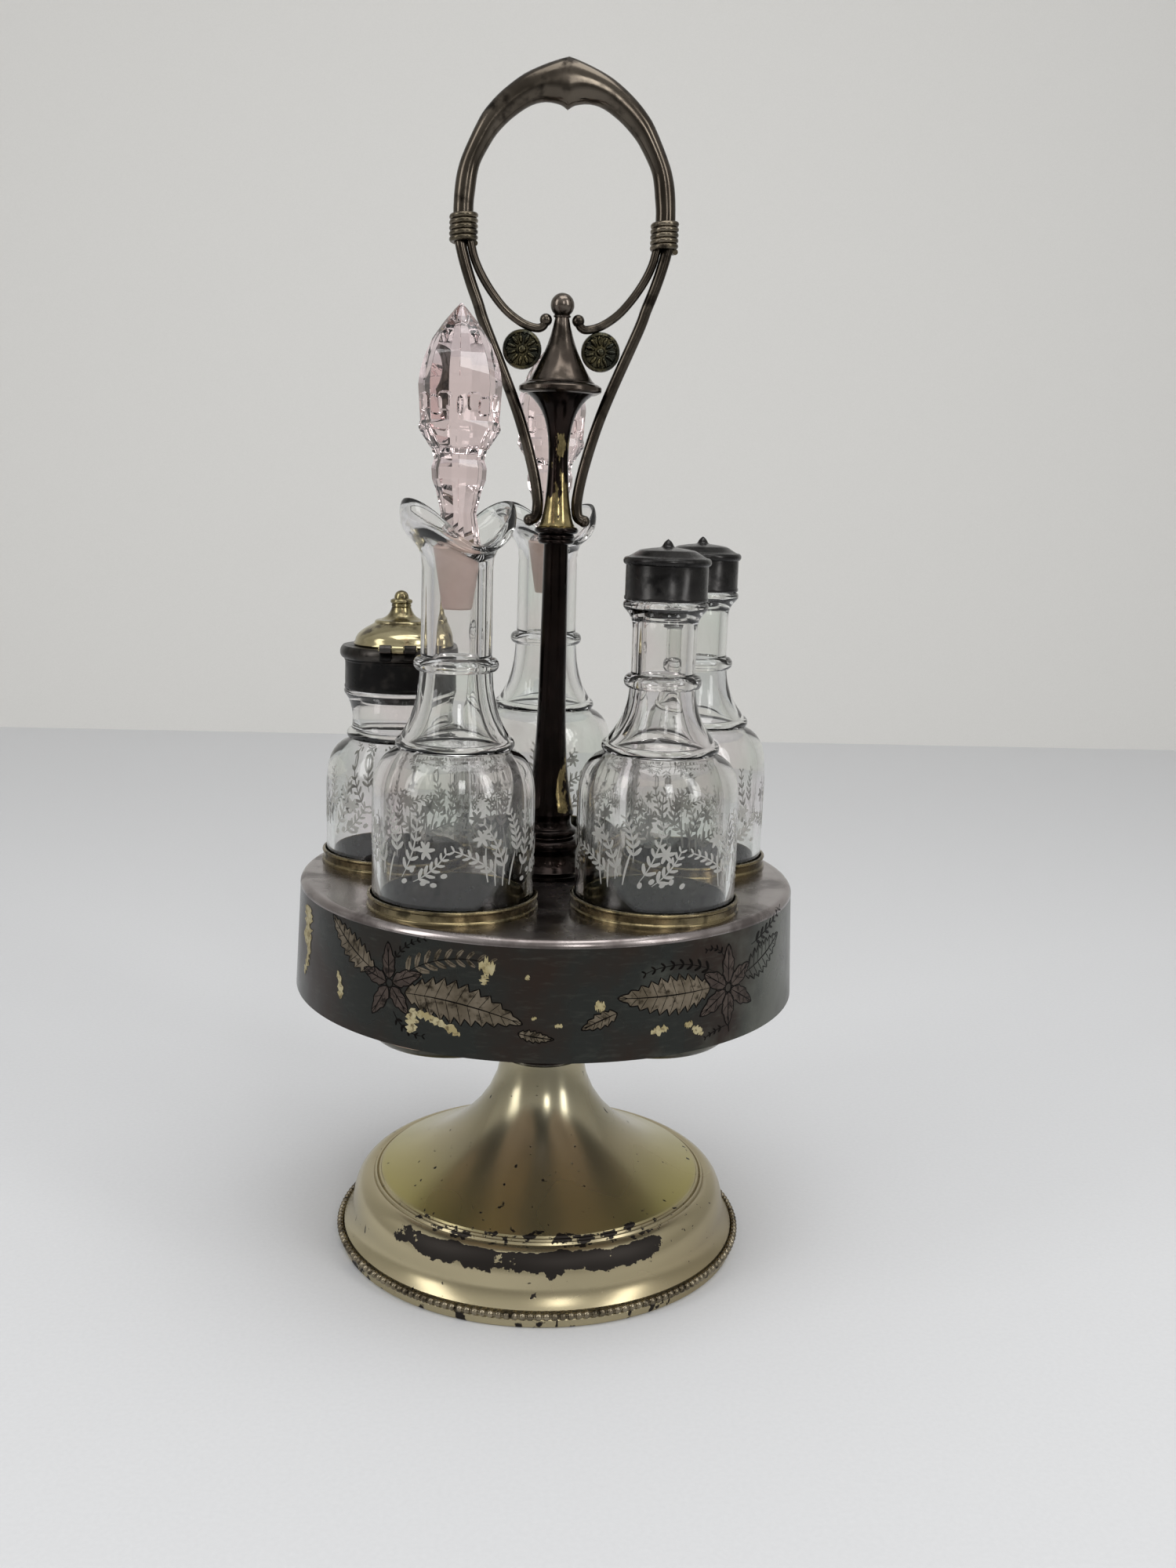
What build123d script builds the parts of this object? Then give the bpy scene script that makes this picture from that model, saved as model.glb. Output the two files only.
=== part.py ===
from build123d import *
import os
from math import cos, radians, sin

# Revolving castor set: a spun foot carries a round frame that turns on a tie rod; the frame
# holds five bottles in drawn cups round a column with a carrying handle.
# Origin: centre of the foot's underside. +Z up, +X to the right, the handle lies in the XZ plane.
# All sizes in millimetres.

# ---------------------------------------------------------------- driving sizes
foot_radius = 71.0          # at the rim
foot_height = 66.0          # floor to top of neck
foot_wall = 1.2
foot_edge = 3.0             # upright edge under the bead wire
moulding_width = 13.4       # rim to seam, where the trumpet meets the moulding
seam_height = 23.2
neck_radius = 14.6
bead_wire_radius = 1.3

rod_radius = 2.0
bush_radius = 6.0
bush_flange_thickness = 6.0
running_fit = 0.05          # rod in bush, pin in knuckle
rod_gap = 0.3               # rod to the pieces it passes with room
end_float = 0.1             # lift of the frame on the foot
washer_thickness = 1.0
rod_washer_radius = 8.0
rod_washer_thickness = 1.2
nut_across = 8.4
nut_height = 4.5
rod_below_nut = 2.0
rod_in_cone = 5.0

band_bottom = 95.4
band_flare = 1.6            # the drum widens downwards
plate_top = 133.0
plate_margin = 3.3          # cup to drum edge
plate_thickness = 1.2
plate_roll = 2.2            # outside radius of the rolled edge
sheet_wall = 1.0

bottle_radius = 25.7
bottle_gap = 0.3            # bottle to cup
cup_wall = 0.5
cup_floor = 90.0            # where the bottles rest
cup_corner = 5.5
ring_height = 4.4           # cup lip standing above the plate
ring_rib = 0.5
ring_spacing = 10.656       # between the lips of two neighbours

column_base_height = 20.6
column_base_radius = 16.0
column_foot_radius = 8.7
column_radius = 4.3
column_height = 92.7
column_bore = 2.4
collar_radius = 7.2
column_collar_height = 5.7
trumpet_waist = 3.3
trumpet_height = 43.2
disc_radius = 13.7
disc_thickness = 3.2
cone_radius = 11.3
cone_tip_radius = 2.15
finial_height = 25.0        # disc to centre of ball
ball_radius = 3.9

handle_half_width = 32.6    # axis to centreline of the loop at the bindings
binding_rise = 50.6         # disc to middle of the bindings
loop_height = 53.4          # middle of the bindings to the top
loop_end_radius = 3.15
binding_turns = 5
binding_wire = 0.92
binding_bore = 3.62
binding_sleeve = 0.5        # thickness under the wire turns
arm_radius = 1.85
arm_side_gap = 3.2          # centreline to the disc and to the waist it passes
wire_radius = 1.35
arm_ball_radius = 2.1
medallion_radius = 6.4
medallion_gap = 9.0         # ball to centre of medallion
medallion_drop = 14.4
medallion_petals = 10

glass_wall = 2.6
glass_base = 6.0
base_corner = 8.0
shoulder_height = 183.6     # underside of the shoulder ring
shoulder_drop = 23.6        # length of the curve below the ring
shoulder_radius = 18.0
ring_width = 3.7            # of the shoulder ring
neck_bore = 7.2
bead_half = 2.2             # half the width of the neck bead
oil_bead_height = 210.0
oil_neck_radius = 10.9
oil_lip_height = 260.8
lip_flare = 20.8            # height over which the neck flares
lip_wall = 1.8
oil_lip_radius = 19.4
oil_lip_dip = 13.5          # how far the pinched sides lie below the lobes
lip_direction = 30.0        # degrees, from +X to the lobes
shaker_bead_height = 206.0
shaker_neck_radius = 10.1
shaker_lip_radius = 13.2
shaker_lip_height = 231.0
finish_height = 10.0        # plain glass finish inside the cap
cap_radius = 13.1
cap_height = 13.2
cap_wall = 1.0
cap_gap = 0.3
seat_gap = 0.2              # under the shaker caps and the mustard lid
pouring_hole = 0.6

jar_shoulder_height = 176.8
jar_waist_radius = 16.5
jar_mouth_radius = 14.2
jar_finish_radius = 17.2
jar_finish_height = 7.6
jar_ledge = 2.4             # lip that carries the metal collar
jar_lip_height = 194.4
collar_height = 10.4
rim_bead_reach = 1.5
rim_bead_height = 4.5
lid_overlap = 2.2           # lid edge past the mouth
lid_height = 13.0
hinge_pin_radius = 0.7
knuckle_radius = 1.5
knuckle_length = 4.0
knuckle_gap = 0.15
leaf_thickness = 0.8

plug_length = 19.6
plug_gap = 0.33             # plug to bore, where the neck begins to flare
plug_taper = 0.157          # radius gained per millimetre
stopper_seat_drop = 14.4    # top of plug below the lip's lobes
stopper_sides = 8

# ---------------------------------------------------------------- derived places
cup_inner = bottle_radius + bottle_gap
cup_outer = cup_inner + cup_wall
bottle_circle = (cup_outer + ring_rib + ring_spacing / 2) / sin(radians(36))
bottle_angles = {"front_left": -126, "front_right": -54, "right": 18, "back": 90, "left": 162}
bottle_place = {
    name: (bottle_circle * cos(radians(angle)), bottle_circle * sin(radians(angle)))
    for name, angle in bottle_angles.items()
}
seam_radius = foot_radius - moulding_width
band_top_radius = bottle_circle + cup_outer + plate_margin
band_bottom_radius = band_top_radius + band_flare
plate_under = plate_top - plate_thickness
band_top = plate_top - plate_roll
column_foot = plate_top + column_base_height
column_top = column_foot + column_height
collar_top = column_top + column_collar_height
disc_height = collar_top + trumpet_height
disc_top = disc_height + disc_thickness
ball_height = disc_top + finial_height
binding_height = disc_height + binding_rise
handle_apex = binding_height + loop_height
medallion_place = (ball_radius + medallion_gap, ball_height - medallion_drop)
lip_start = oil_lip_height - lip_flare
stopper_seat = oil_lip_height - stopper_seat_drop
stopper_base = stopper_seat - plug_length
jar_lip_radius = jar_finish_radius + jar_ledge
rim_bead_radius = jar_lip_radius + rim_bead_reach
lid_radius = jar_mouth_radius + lid_overlap
centre = (0.0, 0.0)

os.makedirs("parts", exist_ok=True)


def save(part, name):
    """Label a finished piece and write it under its node name."""
    part.label = name
    export_step(part, f"parts/{name}.step")


def upright(place):
    """Vertical section plane through a piece's axis: local x is radius, local y is height."""
    return Plane((place[0], place[1], 0), x_dir=(1, 0, 0), z_dir=(0, -1, 0))


def turned(place, outline, hollow=None):
    """Solid of revolution about the upright axis at place, less a turned hollow."""
    axis = Axis((place[0], place[1], 0), (0, 0, 1))
    with BuildPart() as piece:
        with BuildSketch(upright(place)):
            with BuildLine():
                outline()
            make_face()
        revolve(axis=axis)
        if hollow:
            with BuildSketch(upright(place)):
                with BuildLine():
                    hollow()
                make_face()
            revolve(axis=axis, mode=Mode.SUBTRACT)
    return piece.part


def tube(place, inner, outer, low, high):
    """Plain ring between two radii and two heights."""
    def outline():
        Polyline((inner, low), (outer, low), (outer, high), (inner, high), close=True)
    return turned(place, outline)


# ---------------------------------------------------------------- foot
def foot_outline(shift):
    """Half section of the foot. Moved in and down by the wall, the same line is its hollow."""
    def at(radius, height):
        return (radius - shift, height - shift)
    rim_top = foot_edge + 2 * bead_wire_radius
    Line((0, -shift), at(foot_radius, 0))
    Line(at(foot_radius, 0), at(foot_radius, foot_edge))
    Line(at(foot_radius, foot_edge), at(foot_radius - 1.0, foot_edge))
    Line(at(foot_radius - 1.0, foot_edge), at(foot_radius - 1.0, rim_top))
    Bezier(
        at(foot_radius - 1.0, rim_top),
        at(foot_radius - 3.6, rim_top + 3.0),
        at(foot_radius - 4.2, rim_top + 7.2),
    )
    Bezier(
        at(foot_radius - 4.2, rim_top + 7.2),
        at(foot_radius - 4.9, seam_height - 3.2),
        at(seam_radius + 5.4, seam_height - 0.3),
        at(seam_radius + 1.2, seam_height - 0.3),
    )
    Line(at(seam_radius + 1.2, seam_height - 0.3), at(seam_radius, seam_height - 0.3))
    Line(at(seam_radius, seam_height - 0.3), at(seam_radius - 0.6, seam_height + 1.2))
    Bezier(
        at(seam_radius - 0.6, seam_height + 1.2),
        at(seam_radius - 23.6, seam_height + 10.2),
        at(neck_radius + 1.9, foot_height - 20.0),
        at(neck_radius, foot_height),
    )
    Line(at(neck_radius, foot_height), (0, foot_height - shift))
    Line((0, foot_height - shift), (0, -shift))


foot_shell = turned(centre, lambda: foot_outline(0), lambda: foot_outline(foot_wall))
with BuildPart() as shell:
    add(foot_shell)
    with BuildSketch(Plane.XY):
        Circle(bush_radius)
    extrude(amount=foot_height + foot_wall, mode=Mode.SUBTRACT)
save(shell.part, "foot_shell")

with BuildPart() as foot_bead_rim:
    with BuildSketch(Plane.XZ):
        with Locations((foot_radius - 1.0 + bead_wire_radius, foot_edge + bead_wire_radius)):
            Circle(bead_wire_radius)
    revolve(axis=Axis.Z)
save(foot_bead_rim.part, "foot_bead_rim")

bush_flange_top = foot_height - foot_wall
bush_bottom = bush_flange_top - bush_flange_thickness
bush_flange_radius = neck_radius - foot_wall - 0.4


def bush_outline():
    bore = rod_radius + running_fit
    Polyline(
        (bore, bush_bottom),
        (bush_flange_radius, bush_bottom),
        (bush_flange_radius, bush_flange_top),
        (bush_radius, bush_flange_top),
        (bush_radius, foot_height),
        (bore, foot_height),
        close=True,
    )


save(turned(centre, bush_outline), "foot_neck_bush")

# ---------------------------------------------------------------- pivot
washer_top = bush_bottom - end_float
nut_top = washer_top - rod_washer_thickness
rod_bottom = nut_top - nut_height - rod_below_nut
rod_top = disc_top + rod_in_cone

hub_bottom = foot_height + washer_thickness

with BuildPart() as tie_rod:
    with BuildSketch(Plane.XY.offset(rod_bottom)):
        Circle(rod_radius)
    extrude(amount=rod_top - rod_bottom)
    chamfer(tie_rod.edges().sort_by(Axis.Z)[0], 0.4)
save(tie_rod.part, "tie_rod")
save(tube(centre, rod_radius, rod_washer_radius, nut_top, washer_top), "rod_washer")

with BuildPart() as rod_nut:
    with BuildSketch(Plane.XY.offset(nut_top - nut_height)):
        RegularPolygon(nut_across / 2, 6, major_radius=False)
        Circle(rod_radius, mode=Mode.SUBTRACT)
    extrude(amount=nut_height)
save(rod_nut.part, "rod_nut")
save(
    tube(centre, rod_radius + rod_gap, neck_radius - foot_wall, foot_height, hub_bottom),
    "thrust_washer",
)

hub_bore = rod_radius + rod_gap


def hub_outline():
    Line((hub_bore, hub_bottom), (neck_radius + 0.6, hub_bottom))
    Line((neck_radius + 0.6, hub_bottom), (neck_radius + 0.6, hub_bottom + 1.2))
    RadiusArc(
        (neck_radius + 0.6, hub_bottom + 1.2), (neck_radius + 0.2, hub_bottom + 4.2), -1.6
    )
    Bezier(
        (neck_radius + 0.2, hub_bottom + 4.2),
        (10.5, hub_bottom + 8.0),
        (8.4, hub_bottom + 18.0),
        (8.0, hub_bottom + 30.0),
    )
    Bezier(
        (8.0, hub_bottom + 30.0),
        (8.0, plate_under - 14.0),
        (9.5, plate_under - 3.0),
        (18.0, plate_under - 1.6),
    )
    Line((18.0, plate_under - 1.6), (18.0, plate_under))
    Line((18.0, plate_under), (hub_bore, plate_under))
    Line((hub_bore, plate_under), (hub_bore, hub_bottom))


save(turned(centre, hub_outline), "hub")


# ---------------------------------------------------------------- frame drum
def band_outline():
    Polyline(
        (band_bottom_radius - sheet_wall, band_bottom),
        (band_bottom_radius, band_bottom),
        (band_top_radius, band_top),
        (band_top_radius - sheet_wall, band_top),
        close=True,
    )


save(turned(centre, band_outline), "frame_band")


def plate_outline():
    """Flat plate whose edge is rolled over to meet the band."""
    roll_centre = band_top_radius - plate_roll
    inner_roll = plate_roll - plate_thickness
    Line((rod_radius, plate_under), (roll_centre, plate_under))
    RadiusArc((roll_centre, plate_under), (roll_centre + inner_roll, band_top), inner_roll)
    Line((roll_centre + inner_roll, band_top), (band_top_radius, band_top))
    RadiusArc((band_top_radius, band_top), (roll_centre, plate_top), -plate_roll)
    Line((roll_centre, plate_top), (rod_radius, plate_top))
    Line((rod_radius, plate_top), (rod_radius, plate_under))


plate_blank = turned(centre, plate_outline)
with BuildPart() as frame_plate:
    add(plate_blank)
    with BuildSketch(Plane.XY.offset(plate_under)):
        with Locations(*bottle_place.values()):
            Circle(cup_outer)
    extrude(amount=plate_thickness, mode=Mode.SUBTRACT)
save(frame_plate.part, "frame_plate")


def cup_outline():
    """Drawn cup; its lip stands above the plate with a rib at its foot and one at its top."""
    bottom = cup_floor - cup_wall
    ring_top = plate_top + ring_height
    rib = 1.1
    Line((0, bottom), (cup_outer - cup_corner, bottom))
    RadiusArc((cup_outer - cup_corner, bottom), (cup_outer, bottom + cup_corner), -cup_corner)
    Line((cup_outer, bottom + cup_corner), (cup_outer, plate_top))
    Line((cup_outer, plate_top), (cup_outer + ring_rib, plate_top))
    Line((cup_outer + ring_rib, plate_top), (cup_outer + ring_rib, plate_top + rib))
    Line((cup_outer + ring_rib, plate_top + rib), (cup_outer + 0.15, plate_top + rib + 0.3))
    Line((cup_outer + 0.15, plate_top + rib + 0.3), (cup_outer + 0.15, ring_top - rib - 0.3))
    Line((cup_outer + 0.15, ring_top - rib - 0.3), (cup_outer + ring_rib, ring_top - rib))
    RadiusArc((cup_outer + ring_rib, ring_top - rib), (cup_outer, ring_top), -0.8)
    Line((cup_outer, ring_top), (cup_inner, ring_top))
    Line((cup_inner, ring_top), (cup_inner, cup_floor + cup_corner))
    RadiusArc(
        (cup_inner, cup_floor + cup_corner),
        (cup_inner - cup_corner, cup_floor),
        cup_corner,
    )
    Line((cup_inner - cup_corner, cup_floor), (0, cup_floor))
    Line((0, cup_floor), (0, bottom))


for name, place in bottle_place.items():
    save(turned(place, cup_outline), f"cup_{name}")


# ---------------------------------------------------------------- column
def column_base_outline():
    skirt = column_base_radius
    Line((rod_radius, plate_top), (skirt, plate_top))
    Line((skirt, plate_top), (skirt, plate_top + 1.4))
    Bezier(
        (skirt, plate_top + 1.4),
        (12.5, plate_top + 2.2),
        (10.6, plate_top + 4.5),
        (10.4, plate_top + 8.6),
    )
    RadiusArc((10.4, plate_top + 8.6), (10.4, plate_top + 12.8), -2.3)
    Line((10.4, plate_top + 12.8), (8.8, plate_top + 13.4))
    RadiusArc((8.8, plate_top + 13.4), (8.8, plate_top + 16.2), -1.5)
    Bezier(
        (8.8, plate_top + 16.2),
        (7.6, plate_top + 17.0),
        (7.4, column_foot - 1.6),
        (7.8, column_foot),
    )
    Line((7.8, column_foot), (rod_radius, column_foot))
    Line((rod_radius, column_foot), (rod_radius, plate_top))


save(turned(centre, column_base_outline), "column_base")


def column_outline():
    """Tapered tube that flares out to its foot."""
    Line((column_bore, column_foot), (column_foot_radius - 0.6, column_foot))
    Line((column_foot_radius - 0.6, column_foot), (column_foot_radius, column_foot + 0.8))
    Bezier(
        (column_foot_radius, column_foot + 0.8),
        (column_foot_radius - 2.6, column_foot + 10.0),
        (column_radius + 0.8, column_foot + 22.0),
        (column_radius + 0.4, column_foot + 42.0),
    )
    Line((column_radius + 0.4, column_foot + 42.0), (column_radius - 0.2, column_top))
    Line((column_radius - 0.2, column_top), (column_bore, column_top))
    Line((column_bore, column_top), (column_bore, column_foot))


save(turned(centre, column_outline), "column")


def collar_outline():
    step = column_top + 3.4
    lower = collar_radius - 1.3
    Line((rod_radius, column_top), (lower - 0.4, column_top))
    RadiusArc((lower - 0.4, column_top), (lower, column_top + 1.6), -1.4)
    RadiusArc((lower, column_top + 1.6), (lower - 0.2, step), -1.4)
    Line((lower - 0.2, step), (collar_radius - 0.4, step))
    RadiusArc((collar_radius - 0.4, step), (collar_radius - 0.5, collar_top), -1.3)
    Line((collar_radius - 0.5, collar_top), (rod_radius, collar_top))
    Line((rod_radius, collar_top), (rod_radius, column_top))


save(turned(centre, collar_outline), "column_collar")


def trumpet_outline():
    """Bell foot, waist and bell mouth under the disc."""
    waist_height = collar_top + 22.0
    Line((rod_radius, collar_top), (6.1, collar_top))
    Bezier(
        (6.1, collar_top),
        (4.6, collar_top + 2.2),
        (trumpet_waist + 0.4, collar_top + 8.0),
        (trumpet_waist, waist_height),
    )
    Bezier(
        (trumpet_waist, waist_height),
        (trumpet_waist, disc_height - 10.0),
        (5.2, disc_height - 4.0),
        (disc_radius - 2.6, disc_height),
    )
    Line((disc_radius - 2.6, disc_height), (rod_radius, disc_height))
    Line((rod_radius, disc_height), (rod_radius, collar_top))


save(turned(centre, trumpet_outline), "trumpet")


def disc_outline():
    Polyline(
        (rod_radius, disc_height),
        (disc_radius - 1.4, disc_height),
        (disc_radius, disc_height + 0.7),
        (disc_radius, disc_top - 0.9),
        (disc_radius - 1.6, disc_top),
        (rod_radius, disc_top),
        close=True,
    )


save(turned(centre, disc_outline), "finial_disc")

cone_top = ball_height - ball_radius + 0.6


def cone_outline():
    Line((0, disc_top), (cone_radius, disc_top))
    Bezier(
        (cone_radius, disc_top),
        (cone_radius - 3.6, disc_top + 5.4),
        (cone_tip_radius + 1.5, disc_top + 12.5),
        (cone_tip_radius, cone_top),
    )
    Line((cone_tip_radius, cone_top), (0, cone_top))
    Line((0, cone_top), (0, disc_top))


def cone_socket():
    Polyline((0, disc_top), (rod_radius, disc_top), (rod_radius, rod_top), (0, rod_top),
             close=True)


save(turned(centre, cone_outline, cone_socket), "finial_cone")

with BuildPart() as finial_ball:
    with Locations((0, 0, ball_height)):
        Sphere(ball_radius)
    with BuildSketch(Plane.XY.offset(ball_height - ball_radius)):
        Circle(cone_tip_radius)
    extrude(amount=cone_top - ball_height + ball_radius, mode=Mode.SUBTRACT)
save(finial_ball.part, "finial_ball")

# ---------------------------------------------------------------- handle
# Sections of the right half of the loop: centre x, height, tilt of the tube's direction from
# vertical, half width in the handle's plane, half depth across it.
loop_sections = (
    (handle_half_width, binding_height, 0, loop_end_radius, loop_end_radius - 0.05),
    (handle_half_width - 0.4, handle_apex - 40.2, 6, 3.25, 3.15),
    (handle_half_width - 3.4, handle_apex - 29.4, 22, 3.5, 3.3),
    (handle_half_width - 7.4, handle_apex - 22.2, 38, 3.8, 3.5),
    (handle_half_width - 13.6, handle_apex - 15.2, 55, 4.6, 3.8),
    (handle_half_width - 19.6, handle_apex - 10.6, 66, 5.3, 4.0),
    (handle_half_width - 26.6, handle_apex - 8.2, 78, 6.1, 4.2),
    (0, handle_apex - 7.7, 90, 7.7, 4.3),
)
with BuildPart() as handle_loop:
    for x, z, tilt, half_width, half_depth in loop_sections:
        along = (-sin(radians(tilt)), 0, cos(radians(tilt)))
        across = (cos(radians(tilt)), 0, sin(radians(tilt)))
        with BuildSketch(Plane((x, 0, z), x_dir=across, z_dir=along)):
            Ellipse(half_width, half_depth)
    loft()
    mirror(about=Plane.YZ)
save(handle_loop.part, "handle_loop")


def binding(side):
    """Wire wound round the joint of the loop and the two rods below it."""
    height = binding_turns * 2 * binding_wire
    low = binding_height - height / 2
    root = binding_bore + binding_sleeve
    place = (side * handle_half_width, 0)

    def outline():
        Line((binding_bore, low), (root, low))
        for turn in range(binding_turns):
            start = low + 2 * binding_wire * turn
            RadiusArc((root, start), (root, start + 2 * binding_wire), -binding_wire)
        Line((root, low + height), (binding_bore, low + height))
        Line((binding_bore, low + height), (binding_bore, low))

    return turned(place, outline)


def rod_along(points, bends, radius, ball, side):
    """Round rod bent along a filleted line in the handle's plane, ending in a small ball."""
    mirrored = [(side * x, 0, z) for x, z in points]
    with BuildPart() as piece:
        with BuildLine() as path:
            FilletPolyline(*mirrored, radius=bends)
        with BuildSketch(Plane(mirrored[0], z_dir=path.line % 0)):
            Circle(radius)
        sweep(path=path.line)
        with Locations(mirrored[-1]):
            Sphere(ball)
    return piece.part


rod_start = binding_height - 0.4
binding_slack = 0.32        # between the rods and the wire turns
arm_start_x = handle_half_width + binding_bore - arm_radius - binding_slack
wire_start_x = arm_start_x - arm_radius - wire_radius
arm_points = (
    (arm_start_x, rod_start),
    (arm_start_x - 0.05, binding_height - 6.3),
    (disc_radius + arm_side_gap, disc_height + 1.3),
    (trumpet_waist + arm_side_gap, collar_top + 13.0),
    (trumpet_waist + arm_side_gap, collar_top + 5.0),
    (9.4, collar_top + arm_ball_radius - 0.4),
)
arm_bends = (20, 60, 35, 3.5)
wire_points = (
    (wire_start_x, rod_start),
    (wire_start_x - 0.2, binding_height - 6.3),
    (medallion_place[0] + 7.4, ball_height - 4.4),
    (medallion_place[0] - 2.3, ball_height - 8.2),
    (ball_radius + 1.3, ball_height - 4.8),
)
wire_bends = (18, 18, 5)

for side, hand in ((-1, "left"), (1, "right")):
    save(binding(side), f"handle_binding_{hand}")
    save(rod_along(arm_points, arm_bends, arm_radius, arm_ball_radius, side), f"outer_arm_{hand}")
    save(rod_along(wire_points, wire_bends, wire_radius, arm_ball_radius, side),
         f"inner_wire_{hand}")


def medallion(side):
    """Flower medallion: a dished disc with a boss and ten radial petals on each face."""
    x, z = side * medallion_place[0], medallion_place[1]
    with BuildPart() as piece:
        with BuildSketch(Plane((x, -1.0, z), x_dir=(1, 0, 0), z_dir=(0, 1, 0))):
            Circle(medallion_radius)
        extrude(amount=2.0)
        for face in (-1, 1):
            front = Plane((x, face * 1.0, z), x_dir=(1, 0, 0), z_dir=(0, face, 0))
            with BuildSketch(front):
                with PolarLocations(medallion_radius * 0.6, medallion_petals):
                    Ellipse(medallion_radius * 0.34, medallion_radius * 0.14)
                Circle(medallion_radius * 0.2)
            extrude(amount=0.6)
    return piece.part


for side, hand in ((-1, "left"), (1, "right")):
    save(medallion(side), f"medallion_{hand}")


# ---------------------------------------------------------------- bottles
def shoulder(top, low):
    """Outer line from the resting base up to the underside of the shoulder ring."""
    flat = bottle_radius - base_corner
    Line((0, cup_floor), (flat, cup_floor))
    RadiusArc((flat, cup_floor), (bottle_radius, cup_floor + base_corner), -base_corner)
    Line((bottle_radius, cup_floor + base_corner), (bottle_radius, low))
    Bezier(
        (bottle_radius, low),
        (bottle_radius, low + (top - low) * 0.5),
        ((bottle_radius + shoulder_radius) / 2 + 1.65, top - 5.6),
        (shoulder_radius, top),
    )
    RadiusArc((shoulder_radius, top), (shoulder_radius - 0.8, top + ring_width), -2.1)


def waist(top, bead, neck):
    """Concave line from the shoulder ring up to the bead round the neck."""
    low = top + ring_width
    Bezier(
        (shoulder_radius - 0.8, low),
        (shoulder_radius - 5.0, low + (bead - low) * 0.25),
        (neck + 0.7, low + (bead - low) * 0.5),
        (neck + 0.4, bead - bead_half),
    )
    RadiusArc((neck + 0.4, bead - bead_half), (neck, bead + bead_half), -2.4)


def glass_hollow(top, low, bead):
    """Inside of a bottle: one wall in from the outside, up to the neck's bore."""
    inside = bottle_radius - glass_wall
    floor = cup_floor + glass_base
    Line((0, floor), (inside - 5.0, floor))
    RadiusArc((inside - 5.0, floor), (inside, floor + 5.0), -5.0)
    Line((inside, floor + 5.0), (inside, low))
    Bezier(
        (inside, low),
        (inside, low + (top - low) * 0.5),
        ((inside + shoulder_radius) / 2 + 0.05, top - 6.6),
        (shoulder_radius - glass_wall, top - 0.4),
    )
    Bezier(
        (shoulder_radius - glass_wall, top - 0.4),
        (neck_bore + 1.6, top + 5.0),
        (neck_bore, bead - 9.0),
        (neck_bore, bead),
    )


def oil_outline():
    shoulder(shoulder_height, shoulder_height - shoulder_drop)
    waist(shoulder_height, oil_bead_height, oil_neck_radius + 0.2)
    rim = oil_lip_height
    Line((oil_neck_radius + 0.2, oil_bead_height + bead_half), (oil_neck_radius, lip_start))
    Bezier(
        (oil_neck_radius, lip_start),
        (oil_neck_radius, lip_start + 11.0),
        (oil_lip_radius, rim - 11.5),
        (oil_lip_radius, rim - 4.0),
    )
    Bezier(
        (oil_lip_radius, rim - 4.0),
        (oil_lip_radius, rim - 2.0),
        (oil_lip_radius - 0.4, rim - 0.6),
        (oil_lip_radius - 0.9, rim),
    )
    Line((oil_lip_radius - 0.9, rim), (0, rim))
    Line((0, rim), (0, cup_floor))


def oil_hollow():
    glass_hollow(shoulder_height, shoulder_height - shoulder_drop, oil_bead_height)
    inside = oil_lip_radius - lip_wall
    above = oil_lip_height + 1.0
    Line((neck_bore, oil_bead_height), (neck_bore, lip_start))
    Bezier(
        (neck_bore, lip_start),
        (neck_bore + 0.4, lip_start + 11.5),
        (inside, oil_lip_height - 9.5),
        (inside, oil_lip_height - 3.0),
    )
    Polyline(
        (inside, oil_lip_height - 3.0),
        (inside - 0.4, above),
        (0, above),
        (0, cup_floor + glass_base),
    )


def oil_bottle(place):
    """Bottle whose flared lip is pinched low on two sides and stands high on the other two."""
    blank = turned(place, oil_outline, oil_hollow)
    lobes = (cos(radians(lip_direction)), sin(radians(lip_direction)), 0)
    across = (sin(radians(lip_direction)), -cos(radians(lip_direction)), 0)
    dip = oil_lip_height - oil_lip_dip
    reach = oil_lip_radius + 4.0
    with BuildPart() as piece:
        add(blank)
        with BuildSketch(Plane((place[0], place[1], 0), x_dir=lobes, z_dir=across)):
            with BuildLine():
                Bezier(
                    (-reach, oil_lip_height + 1.0),
                    (-reach * 0.55, oil_lip_height + 2.0),
                    (-reach * 0.42, dip),
                    (0, dip),
                )
                Bezier(
                    (0, dip),
                    (reach * 0.42, dip),
                    (reach * 0.55, oil_lip_height + 2.0),
                    (reach, oil_lip_height + 1.0),
                )
                Polyline(
                    (reach, oil_lip_height + 1.0),
                    (reach, oil_lip_height + 12.0),
                    (-reach, oil_lip_height + 12.0),
                    (-reach, oil_lip_height + 1.0),
                )
            make_face()
        extrude(amount=reach, both=True, mode=Mode.SUBTRACT)
    return piece.part


# Height above the seat and radius of each ring of corners on the cut glass stopper.
stopper_rings = (
    (0, neck_bore + 0.1),
    (12.0, 5.4),
    (19.0, 7.0),
    (22.0, 8.4),
    (28.3, 7.6),
    (32.6, 9.6),
    (37.8, 12.3),
    (44.3, 11.7),
    (48.9, 12.5),
    (55.6, 11.3),
    (60.2, 9.2),
    (64.6, 6.0),
    (70.8, 0.4),
)


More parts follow.
